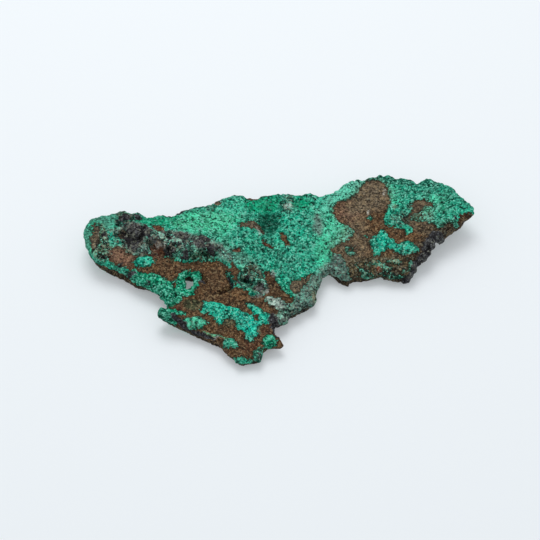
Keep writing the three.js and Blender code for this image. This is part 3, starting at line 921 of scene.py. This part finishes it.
@dataclass
class Sheet:
    """The nugget's one closed surface, from its plan to its finest relief, in millimetres."""

    form: Form = field(default_factory=Form)
    step: float = 0.318  # spacing of the lattice in plan
    relief_room: float = 0.3  # how far the rim stays back to leave room for the relief
    raggedness: float = 0.42  # how far the rim wanders from its outline
    rim_rows: int = 10
    bulge: float = 0.15  # how far the rim swells out at mid height
    wander: float = 0.6  # how far the patches' edges wander
    lean: float = 1.0 / math.tan(math.radians(50.0))  # how the patches lean down the front rim
    skirt: float = 1.3  # how far the crust reaches down the front rim
    crust_height: float = 0.25  # how far the crust stands proud of the metal
    swell_height: float = 0.2
    ripple: float = 0.1  # height of the fine noise on the crust and the rim; bare metal has half of it
    pit_depth: float = 0.22  # of the pits in bare metal
    cavity_depth: float = 0.8  # of the hollows where the surface is lumpy
    granules: Knobs = Knobs(0.95, 0.34, 0.14, 41)
    nodules: Knobs = Knobs(1.5, 0.5, 0.15, 51)
    lumps: Knobs = Knobs(1.9, 0.5, 0.1, 61)
    crumbs: Knobs = Knobs(1.7, 0.35, 0.25, 65)
    edge: Array = field(init=False)
    hole: Array = field(init=False)
    middle: Array = field(init=False)  # the plan's middle
    vertices: Array = field(init=False)
    triangles: Array = field(init=False)
    depth: Array = field(init=False)  # how far each vertex is inside the rim
    under: Array = field(init=False)  # 1 on the under face, else 0
    drop: Array = field(init=False)  # how far each vertex is below the upper face
    painted: Paint = field(init=False)

    def __post_init__(self) -> None:
        """Works out the plan curves and where the plan's middle is."""
        self.edge = rounded(OUTLINE, 6)
        self.hole = rounded(HOLE, 6)
        self.middle = (self.edge.min(axis=0) + self.edge.max(axis=0)) / 2

    def inset(self, places: Array) -> Array:
        """Distance inside the ragged rim: the plan's own distance at places that noise has shifted.

        Args:
            places: Plan places, one row each.

        Returns:
            One distance for each place, negative outside the sheet.
        """
        flat = np.column_stack([places, np.zeros(len(places))])
        shift = np.stack([fractal(flat, 2.6, 3, seed) for seed in (11, 15)], axis=1)
        moved = places + self.raggedness * shift
        return np.minimum(within(self.edge, moved), -within(self.hole, moved)) - self.relief_room

    def lattice(self) -> tuple[Array, Array]:
        """Rows of triangles over the whole plan, every other row shifted by half a step.

        Returns:
            The plan places and the triangles' vertex numbers.
        """
        rise = self.step * math.sqrt(3) / 2
        low, high = self.edge.min(axis=0) - 1.0, self.edge.max(axis=0) + 1.0
        columns, rows = (int(n) for n in (high - low) / (self.step, rise))
        row, column = np.mgrid[0:rows, 0:columns]
        x = low[0] + (column + (row % 2) / 2) * self.step
        places = np.column_stack([x.ravel(), (low[1] + row * rise).ravel()])
        a = (row * columns + column)[:-1, :-1].ravel()
        b, c, d = a + 1, a + columns, a + columns + 1
        odd = (row[:-1, :-1] % 2 == 1).ravel()
        first = np.column_stack([a, b, np.where(odd, d, c)])
        second = np.column_stack([np.where(odd, a, b), d, c])
        return places, np.concatenate([first, second])

    def plan(self) -> tuple[Array, Array]:
        """The lattice of triangles inside the ragged rim, with its border pulled onto the rim.

        Each border vertex moves down the slope of its distance inside the rim, by most of that distance.

        Returns:
            The plan places and the triangles' vertex numbers.
        """
        places, triangles = self.lattice()
        inside = self.inset(places) > 0
        triangles = without_pinches(triangles[inside[triangles].all(axis=1)])
        used, numbers = np.unique(triangles, return_inverse=True)
        places, triangles = places[used], numbers.reshape(-1, 3)
        rim = np.unique(border_edges(triangles))
        probe = 0.05
        for _ in range(2):
            here = places[rim]
            rises = [self.inset(here + side) - self.inset(here - side)
                     for side in ((probe, 0.0), (0.0, probe))]
            slope = np.stack(rises, axis=1) / (2 * probe)
            steepness = np.maximum((slope**2).sum(axis=1, keepdims=True), 0.3)
            places[rim] -= 0.8 * np.clip(self.inset(here), 0, self.step)[:, None] * slope / steepness
        return places, triangles

    def build(self) -> None:
        """Builds the closed surface: two faces on one plan, and a rim of rows that swells out at mid height.

        Row k of the rim stands at share t = k / rows of the way down, and out by bulge * sin(pi t)^0.7.
        """
        places, triangles = self.plan()
        count = len(places)
        border = border_edges(triangles)
        rim = np.unique(border)
        depth = np.maximum(np.minimum(within(self.edge, places), -within(self.hole, places)), 0.0)
        depth[rim] = 0.0
        upper, under = self.form.faces(places, depth)
        fall = upper - under

        share = (np.arange(1, self.rim_rows) / self.rim_rows)[:, None]
        swell = self.bulge * np.sin(np.pi * share) ** 0.7
        rows_xy = places[rim] + swell[..., None] * outward(places, border, rim)
        rows_z = upper[rim] - share * fall[rim]
        rows = np.concatenate([rows_xy, rows_z[..., None]], axis=2).reshape(-1, 3)
        self.vertices = np.concatenate(
            [np.column_stack([places, upper]), np.column_stack([places, under]), rows]
        )

        between = 2 * count + np.arange(len(rows)).reshape(-1, len(rim))
        ring = np.concatenate([rim[None], between, rim[None] + count])
        first, second = np.searchsorted(rim, border[:, 0]), np.searchsorted(rim, border[:, 1])
        high_a, high_b = ring[:-1, first].ravel(), ring[:-1, second].ravel()
        low_a, low_b = ring[1:, first].ravel(), ring[1:, second].ravel()
        self.triangles = np.concatenate([
            triangles,
            triangles[:, ::-1] + count,
            np.column_stack([high_a, low_a, low_b]),
            np.column_stack([high_a, low_b, high_b]),
        ])
        on_rim = np.zeros(len(rows))
        self.depth = np.concatenate([depth, depth, on_rim])
        self.under = np.concatenate([np.zeros(count), np.ones(count), on_rim])
        self.drop = np.concatenate([np.zeros(count), fall, (share * fall[rim]).ravel()])

    def paint(self) -> None:
        """Paints the upper face and the rim with the patches, and the under face with its own islands.

        A patch leans down the front rim: a place that is h below the upper face takes the paint from
        lean * h in front of it, and on the back rim from straight above.
        """
        points = self.vertices
        front = smooth_step(-0.3, 0.5, -vertex_normals(points, self.triangles)[:, 1])
        places = points[:, :2].copy()
        places[:, 1] -= self.lean * front * self.drop
        places += self.wander * np.stack([fractal(points, 1.5, 3, seed) for seed in (21, 25)], axis=1)
        self.painted = Paint.plain(points)
        for patch in PATCHES:
            self.painted.lay(patch, places)
        # the lower front rim is bare metal painted dark umber: partly the metal's own colour, partly painted
        # shade on the walls facing away from the lamp
        near_hole = smooth_step(1.2, 0.4, -within(self.hole, points[:, :2]))
        skirt = self.skirt * (1.0 - 0.8 * near_hole)
        foot = front * smooth_step(0.0, 0.5, self.drop - skirt + 0.3 * fractal(points, 1.5, 2, 29))
        self.painted.crust += foot * (np.minimum(self.painted.crust, -0.6) - self.painted.crust)
        self.painted.bare_tone += foot[:, None] * (Tone.UMBER.linear() - self.painted.bare_tone)
        inner = self.under * smooth_step(0.3, 2.5, self.depth)
        self.painted.mix(under_paint(points), inner)

    def carve(self) -> None:
        """Moves each vertex along its normal by the fine relief.

        The relief is the sum of broad swells; granules on the crust, which stands proud of the metal; pits
        and a faint ripple on bare metal; nodules on the oxide; lumps and hollows where the surface is lumpy;
        crumbs round the rim; and the grooves, which cut the upper face only.
        """
        points, paint = self.vertices, self.painted
        normals = vertex_normals(points, self.triangles)
        crusted, oxidised = smooth_step(-0.1, 0.4, paint.crust), smooth_step(-0.1, 0.5, paint.oxide)
        rim = 1.0 - smooth_step(0.2, 1.6, self.depth)
        fine, coarse = noise(points, 0.65, 31), fractal(points, 2.4, 3, 33)
        pits = smooth_step(0.45, 0.8, fractal(points, 1.6, 2, 47))
        cavities = smooth_step(0.35, 0.75, fractal(points, 1.7, 2, 63))
        ripple = self.ripple * fine
        granules, nodules, lumps, crumbs = (
            knob.forms(points) for knob in (self.granules, self.nodules, self.lumps, self.crumbs)
        )

        relief = self.swell_height * fractal(points, 7.0, 2, 37) + 0.1 * coarse
        relief += crusted * (self.crust_height + paint.grit * (self.granules.relief(granules) + ripple))
        relief += (1.0 - crusted) * (ripple / 2 - self.pit_depth * pits)
        relief += oxidised * self.nodules.relief(nodules)
        relief += paint.lump * (0.55 * coarse + self.lumps.relief(lumps) - self.cavity_depth * cavities)
        relief += rim * (self.crumbs.relief(crumbs) + ripple)
        upward = smooth_step(0.3, 0.7, normals[:, 2])
        relief -= upward * sum(groove.depth_at(points[:, :2]) for groove in self.form.grooves)

        grainy = crusted * paint.grit * (1.6 * granules - 0.75) + 0.5 * fine
        nodular = oxidised * (1.6 * nodules - 0.6)
        paint.rise = np.clip(grainy + nodular + paint.lump * (coarse - 1.5 * cavities), -1.5, 1.0)
        self.vertices = points + relief[:, None] * normals
        self.vertices[:, 2] = np.maximum(self.vertices[:, 2], 0.0)

    def to_object(self, name: str, centre: Array) -> bpy.types.Object:
        """Puts the surface into a Blender mesh, in metres, with the paint as its attributes.

        Args:
            name: The piece's name.
            centre: Where the plan's middle stands, in metres.

        Returns:
            The new object.
        """
        vertices = self.vertices - (*self.middle, 0.0)
        mesh = new_mesh(name, vertices * MILLIMETRE + (centre[0], centre[1], 0.0), self.triangles)
        for attribute in ("crust", "oxide", "grit", "mottle", "rise"):
            layer = mesh.attributes.new(attribute, "FLOAT", "POINT")
            layer.data.foreach_set("value", getattr(self.painted, attribute).astype(np.float32))
        for attribute in ("crust_tone", "bare_tone"):
            layer = mesh.attributes.new(attribute, "FLOAT_COLOR", "POINT")
            tone = np.column_stack([getattr(self.painted, attribute), np.ones(len(vertices))])
            layer.data.foreach_set("color", tone.astype(np.float32).ravel())
        return new_object(name, mesh)

    def dress(self, piece: bpy.types.Object, finish: "CrustedCopper") -> None:
        """Gives the piece its material."""
        piece.data.materials.append(finish.material(mineral_grain()))


def new_mesh(name: str, vertices: Array, triangles: Array) -> bpy.types.Mesh:
    """Makes a smooth-shaded mesh from whole arrays.

    Args:
        name: The mesh's name.
        vertices: Places in metres, one row each.
        triangles: Vertex numbers, three to a row.

    Returns:
        The mesh.
    """
    mesh = bpy.data.meshes.new(name)
    mesh.vertices.add(len(vertices))
    mesh.vertices.foreach_set("co", vertices.astype(np.float32).ravel())
    mesh.loops.add(triangles.size)
    mesh.loops.foreach_set("vertex_index", triangles.astype(np.int32).ravel())
    mesh.polygons.add(len(triangles))
    mesh.polygons.foreach_set("loop_start", np.arange(0, triangles.size, 3, dtype=np.int32))
    mesh.polygons.foreach_set("use_smooth", np.ones(len(triangles), dtype=bool))
    mesh.update(calc_edges=True)
    return mesh


def new_object(name: str, data: bpy.types.ID) -> bpy.types.Object:
    """Puts a mesh, lamp or camera into the scene.

    Args:
        name: The object's name.
        data: What the object shows.

    Returns:
        The object, at the origin.
    """
    made = bpy.data.objects.new(name, data)
    bpy.context.scene.collection.objects.link(made)
    return made


# --- Materials --------------------------------------------------------------------------------------------


@dataclass
class Wiring:
    """Adds nodes to a node tree and links them."""

    tree: bpy.types.NodeTree

    def node(self, kind: str, inputs: dict[str, object] | None = None, **settings: object) -> bpy.types.Node:
        """Adds a node.

        Args:
            kind: The node's type name, without its ShaderNode prefix.
            inputs: A link's source or a plain value for each named input.
            settings: The node's own settings.

        Returns:
            The node.
        """
        made = self.tree.nodes.new("ShaderNode" + kind)
        for name, value in settings.items():
            setattr(made, name, value)
        for name, value in (inputs or {}).items():
            self.feed(made.inputs[name], value)
        return made

    def feed(self, socket: bpy.types.NodeSocket, value: object) -> None:
        """Links the socket to another socket, or sets its plain value."""
        if isinstance(value, bpy.types.NodeSocket):
            self.tree.links.new(value, socket)
        else:
            socket.default_value = value

    def math(self, operation: str, *values: object) -> bpy.types.NodeSocket:
        """Result of a Math node on one to three values."""
        made = self.node("Math", operation=operation)
        for socket, value in zip(made.inputs, values):
            self.feed(socket, value)
        return made.outputs[0]

    def step(self, value: object, low: float, high: float) -> bpy.types.NodeSocket:
        """Smooth step of the value from 0 at low to 1 at high."""
        inputs = {"Value": value, "From Min": low, "From Max": high}
        return self.node("MapRange", inputs, interpolation_type="SMOOTHSTEP").outputs[0]

    def scale(self, value: object, low: float, high: float) -> bpy.types.NodeSocket:
        """Straight mapping of a value from 0 to 1 onto low to high."""
        return self.math("MULTIPLY_ADD", value, high - low, low)

    def mix(self, share: object, first: object, second: object, how: str = "MIX") -> bpy.types.NodeSocket:
        """Mixes two colours by a share, in one of the Mix node's ways."""
        made = self.node("Mix", data_type="RGBA", blend_type=how)
        for index, value in ((0, share), (6, first), (7, second)):
            self.feed(made.inputs[index], value)
        return made.outputs[2]

    def noise(self, vector: object, wavelength: float, detail: float) -> bpy.types.NodeSocket:
        """Rough noise at a wavelength in millimetres."""
        scale = 1.0 / (wavelength * MILLIMETRE)
        inputs = {"Vector": vector, "Scale": scale, "Detail": detail, "Roughness": 0.7}
        return self.node("TexNoise", inputs).outputs["Fac"]

    def channels(self, source: bpy.types.NodeSocket) -> bpy.types.bpy_prop_collection:
        """Red, green and blue of a colour, used as three values that don't depend on each other."""
        return self.node("SeparateColor", {"Color": source}).outputs

    def attribute(self, name: str, output: str) -> bpy.types.NodeSocket:
        """Output of the named attribute of the mesh."""
        return self.node("Attribute", attribute_name=name, attribute_type="GEOMETRY").outputs[output]


def colour(tone: Tone) -> tuple[float, float, float, float]:
    """The tone as a socket's value."""
    return (*tone.linear(), 1.0)


def mineral_grain() -> bpy.types.NodeTree:
    """Group that breaks a mineral's surface into grains, with pits between them and pale flecks on them.

    Each grain has chances of its own, and broad noise drifts over several grains. A grain's shade is 0.6 of
    one chance and 0.4 of the drift. Pits and flecks lie where a chance and the drift are both high.

    Returns:
        The group: from a place and a grain size it gives a shade for each grain, the grains' relief, and
        masks for pits and flecks.
    """
    tree = bpy.data.node_groups.new("mineral_grain", "ShaderNodeTree")
    tree.interface.new_socket("Place", in_out="INPUT", socket_type="NodeSocketVector")
    tree.interface.new_socket("Grains per metre", in_out="INPUT", socket_type="NodeSocketFloat")
    for name in ("Shade", "Relief", "Pits", "Flecks"):
        tree.interface.new_socket(name, in_out="OUTPUT", socket_type="NodeSocketFloat")
    wiring = Wiring(tree)
    given = tree.nodes.new("NodeGroupInput")
    place, fineness = given.outputs["Place"], given.outputs["Grains per metre"]
    cells = wiring.node("TexVoronoi", {"Vector": place, "Scale": fineness})
    chance = wiring.channels(cells.outputs["Color"])
    broad_scale = wiring.math("MULTIPLY", fineness, 0.35)
    broad_inputs = {"Vector": place, "Scale": broad_scale, "Detail": 3.0, "Roughness": 0.85}
    broad = wiring.channels(wiring.node("TexNoise", broad_inputs).outputs["Color"])
    drift = wiring.math("MULTIPLY", wiring.step(broad[0], 0.3, 0.7), 0.4)
    shade = wiring.math("MULTIPLY_ADD", chance[0], 0.6, drift)
    height = wiring.math("MULTIPLY_ADD", broad[0], 2.0, shade)
    made = {
        "Shade": shade,
        "Relief": wiring.math("SUBTRACT", height, cells.outputs["Distance"]),
        "Pits": wiring.step(wiring.math("MULTIPLY_ADD", chance[1], 0.45, broad[1]), 0.84, 0.9),
        "Flecks": wiring.step(wiring.math("MULTIPLY_ADD", chance[2], 0.45, broad[2]), 0.86, 0.92),
    }
    result = tree.nodes.new("NodeGroupOutput")
    for name, value in made.items():
        wiring.feed(result.inputs[name], value)
    return tree


@dataclass(frozen=True)
class Finish:
    """One mineral's grain and gloss."""

    grain: float  # grain size in millimetres
    dark: float  # brightness of the darkest grains
    light: float  # brightness of the lightest grains
    pit: Tone
    pits: float  # how strongly the pits show
    fleck: Tone
    flecks: float
    roughness: float


@dataclass
class CrustedCopper:
    """The nugget's material: crust, bare metal and oxide, each with its own grain, with crisp edges."""

    # the crust's, bare metal's and oxide's pits are painted shade between the grains and their flecks painted
    # highlights, glints on the oxide; the mixed clumps' pits and flecks are dark and pale minerals
    crust: Finish = Finish(0.42, -0.3, 2.25, Tone.DEEP, 0.85, Tone.FROST, 1.0, 0.82)
    bare: Finish = Finish(0.36, -0.15, 1.9, Tone.UMBER, 0.7, Tone.TAN, 0.6, 0.62)
    oxide: Finish = Finish(0.42, -0.4, 1.9, Tone.BLACK, 0.9, Tone.ASH, 0.25, 0.5)
    mixed: Finish = Finish(0.52, -0.1, 1.8, Tone.BLACK, 1.0, Tone.CREAM, 0.6, 0.6)
    foot_shade: float = 0.55  # how much painted shade darkens the metal at the crust's foot
    paleness: float = 0.5  # how far the lightest grains go towards the flecks' tone, a painted highlight
    cavity_shade: float = 0.24  # how much darker hollows and paler tops are than the rest: painted shade and painted highlight
    edge_grain: float = 0.9  # wavelength of the raggedness of the edges between minerals
    crust_stray: float = 2.6  # how far the crust's edge strays, in millimetres
    oxide_stray: float = -1.6  # the same for the oxide, the other way
    clump: float = 3.2  # wavelength of the slow change in brightness
    clump_values: tuple[float, float] = (0.45, 1.55)
    clump_saturations: tuple[float, float] = (0.85, 1.15)
    bump_distance: float = 0.25  # in millimetres
    bump_strength: float = 0.9
    specular: float = 0.08
    oxide_gloss: float = 0.12  # weight of the oxide's coat
    coat_roughness: float = 0.4

    def toned(self, wiring: Wiring, grain: bpy.types.Node, finish: Finish, tone: object,
              coarseness: object) -> bpy.types.NodeSocket:
        """Colour of one mineral: its tone, shaded by the grains, with its pits and flecks.

        Args:
            wiring: The material's nodes.
            grain: The grain group's node for this mineral.
            finish: The mineral's finish.
            tone: The mineral's own colour.
            coarseness: How strongly the pits and flecks show, a number or a socket.

        Returns:
            The colour's socket.
        """
        # painted shade in low places and painted highlight on high ones, from the surface's rise
        rise = wiring.attribute("rise", "Fac")
        shade = wiring.math("MULTIPLY_ADD", rise, self.cavity_shade, grain.outputs["Shade"])
        bright = wiring.math("MAXIMUM", wiring.scale(shade, finish.dark, finish.light), 0.05)
        grey = wiring.node("CombineXYZ", {"X": bright, "Y": bright, "Z": bright}).outputs[0]
        tinted = wiring.mix(1.0, tone, grey, "MULTIPLY")
        palest = wiring.math("MULTIPLY", wiring.step(shade, 0.55, 1.0), self.paleness)
        pale = wiring.math("MAXIMUM", grain.outputs["Flecks"], palest)
        flecks = wiring.math("MULTIPLY", pale, wiring.math("MULTIPLY", coarseness, finish.flecks))
        pitting = wiring.math("MULTIPLY", coarseness, finish.pits)
        pits = wiring.math("MULTIPLY", grain.outputs["Pits"], pitting)
        return wiring.mix(pits, wiring.mix(flecks, tinted, colour(finish.fleck)), colour(finish.pit))

    def material(self, grain_group: bpy.types.NodeTree) -> bpy.types.Material:
        """Builds the material.

        The crust and the oxide end where their depth, with some noise added, passes 0. Bare metal has painted
        shade at the crust's foot. Clumps of dark and pale minerals lie over all three where the mottle is
        strong.

        Args:
            grain_group: The mineral grain group.

        Returns:
            The material.
        """
        made = bpy.data.materials.new("crusted_copper")
        made.use_nodes = True
        made.node_tree.nodes.clear()
        wiring = Wiring(made.node_tree)
        place = wiring.node("TexCoord").outputs["Object"]
        crust_grain, bare_grain, oxide_grain, mixed_grain = (
            wiring.node("Group", {"Place": place, "Grains per metre": 1.0 / (finish.grain * MILLIMETRE)},
                        node_tree=grain_group)
            for finish in (self.crust, self.bare, self.oxide, self.mixed)
        )
        stray = wiring.math("SUBTRACT", wiring.noise(place, self.edge_grain, 3.0), 0.5)
        crust_depth = wiring.math("MULTIPLY_ADD", stray, self.crust_stray, wiring.attribute("crust", "Fac"))
        oxide_depth = wiring.math("MULTIPLY_ADD", stray, self.oxide_stray, wiring.attribute("oxide", "Fac"))
        crusted, oxidised = wiring.step(crust_depth, -0.06, 0.06), wiring.step(oxide_depth, -0.15, 0.25)
        grit = wiring.attribute("grit", "Fac")

        green_tone, brown_tone = (wiring.attribute(name, "Color") for name in ("crust_tone", "bare_tone"))
        green = self.toned(wiring, crust_grain, self.crust, green_tone, grit)
        brown = self.toned(wiring, bare_grain, self.bare, brown_tone, 1.0)
        black = self.toned(wiring, oxide_grain, self.oxide, colour(Tone.VIOLET), 1.0)
        # painted shade at the crust's foot: the bare metal next to the crust is darkened towards umber
        foot = wiring.math("MULTIPLY", wiring.step(crust_depth, -0.7, -0.05), self.foot_shade)
        shaded_metal = wiring.mix(foot, brown, colour(Tone.UMBER))
        base = wiring.mix(oxidised, wiring.mix(crusted, shaded_metal, green), black)
        mottled = self.toned(wiring, mixed_grain, self.mixed, base, 1.0)
        base = wiring.mix(wiring.attribute("mottle", "Fac"), base, mottled)
        clumps = wiring.noise(place, self.clump, 4.0)
        clumped = wiring.node("HueSaturation", {
            "Color": base,
            "Saturation": wiring.scale(clumps, *self.clump_saturations),
            "Value": wiring.scale(clumps, *self.clump_values),
        })

        crust_rougher = wiring.math("MULTIPLY", crusted, self.crust.roughness - self.bare.roughness)
        rough = wiring.math("ADD", self.bare.roughness, crust_rougher)
        rough = wiring.math("MULTIPLY_ADD", oxidised, self.oxide.roughness - self.bare.roughness, rough)
        gritty = wiring.math("MULTIPLY", crusted, grit)
        relief = wiring.math("MULTIPLY", crust_grain.outputs["Relief"], gritty)
        relief = wiring.math("MULTIPLY_ADD", bare_grain.outputs["Relief"], 0.3, relief)
        relief = wiring.math("MULTIPLY_ADD", crusted, 0.5, relief)
        bump = wiring.node("Bump", {
            "Height": relief, "Distance": self.bump_distance * MILLIMETRE, "Strength": self.bump_strength,
        })
        shader = wiring.node("BsdfPrincipled", {
            "Base Color": clumped.outputs[0],
            "Roughness": rough,
            "Normal": bump.outputs[0],
            "Specular IOR Level": self.specular,
            "Coat Weight": wiring.math("MULTIPLY", oxidised, self.oxide_gloss),
            "Coat Roughness": self.coat_roughness,
        })
        wiring.node("OutputMaterial", {"Surface": shader.outputs[0]})
        return made


# --- Studio -----------------------------------------------------------------------------------------------


@dataclass
class Studio:
    """A pale floor, soft light from above and behind, and the camera."""

    middle: Array  # the plan's middle, in plan millimetres
    target: tuple[float, float, float] = (-2.3, 0.0, 4.0)  # what the camera looks at, in plan millimetres
    elevation: float = 50.0
    distance: float = 0.38
    lens: float = 97.5
    sensor: float = 36.0
    floor_size: float = 3.0
    floor_colour: tuple[float, float, float, float] = (0.67, 0.7, 0.725, 1.0)
    floor_roughness: float = 0.9
    floor_specular: float = 0.1
    floor_glow: float = 0.22  # the floor is a faintly lit table
    sky_colour: tuple[float, float, float, float] = (0.95, 0.98, 1.0, 1.0)
    sky_strength: float = 0.64
    lamp_power: float = 1.6
    lamp_size: float = 0.35
    lamp_place: tuple[float, float, float] = (-0.05, 0.25, 0.55)

    def camera(self) -> None:
        """Places the camera on a line that rises at the elevation in front of the target."""
        data = bpy.data.cameras.new("camera")
        data.lens, data.sensor_width = self.lens, self.sensor
        data.clip_start, data.clip_end = 0.01, 10.0
        made = new_object("camera", data)
        up = math.radians(self.elevation)
        target = (np.array(self.target) - (*self.middle, 0.0)) * MILLIMETRE
        made.location = target + self.distance * np.array([0.0, -math.cos(up), math.sin(up)])
        made.rotation_euler = (math.pi / 2 - up, 0.0, 0.0)
        bpy.context.scene.camera = made

    def light(self) -> None:
        """Hangs one soft lamp, turned to face the object, under an even pale sky."""
        data = bpy.data.lights.new("softbox", "AREA")
        data.energy, data.size = self.lamp_power, self.lamp_size
        made = new_object("softbox", data)
        made.location = self.lamp_place
        x, y, z = self.lamp_place
        made.rotation_euler = (math.atan2(-y, z), math.atan2(x, z), 0.0)
        world = bpy.data.worlds.new("sky")
        world.use_nodes = True
        sky = world.node_tree.nodes["Background"]
        sky.inputs["Color"].default_value = self.sky_colour
        sky.inputs["Strength"].default_value = self.sky_strength
        bpy.context.scene.world = world
        bpy.context.scene.view_settings.view_transform = "Standard"

    def floor(self) -> None:
        """Lays the pale floor."""
        half = self.floor_size / 2
        ground = np.array([(-half, -half, 0.0), (half, -half, 0.0), (half, half, 0.0), (-half, half, 0.0)])
        made = new_object("floor", new_mesh("floor", ground, np.array([(0, 1, 2), (0, 2, 3)])))
        material = bpy.data.materials.new("floor")
        material.use_nodes = True
        shader = material.node_tree.nodes["Principled BSDF"]
        shader.inputs["Base Color"].default_value = self.floor_colour
        shader.inputs["Roughness"].default_value = self.floor_roughness
        shader.inputs["Specular IOR Level"].default_value = self.floor_specular
        shader.inputs["Emission Color"].default_value = self.sky_colour
        shader.inputs["Emission Strength"].default_value = self.floor_glow
        made.data.materials.append(material)


def main() -> None:
    """Builds the nugget round the CAD node, dresses it, lights it and reports each piece."""
    logging.basicConfig(level=logging.INFO, format="%(message)s")
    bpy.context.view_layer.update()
    low, high = (np.array(corner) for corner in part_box(NODE))

    sheet = Sheet()
    sheet.build()
    sheet.paint()
    sheet.carve()
    nugget = sheet.to_object("nugget_sheet", (low + high) / 2)
    sheet.dress(nugget, CrustedCopper())
    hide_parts(NODE)
    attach(nugget, "root")
    log.info("nugget sheet: %d triangles", len(sheet.triangles))

    studio = Studio(sheet.middle)
    studio.camera()
    studio.light()
    studio.floor()


if __name__ == "__main__":
    main()
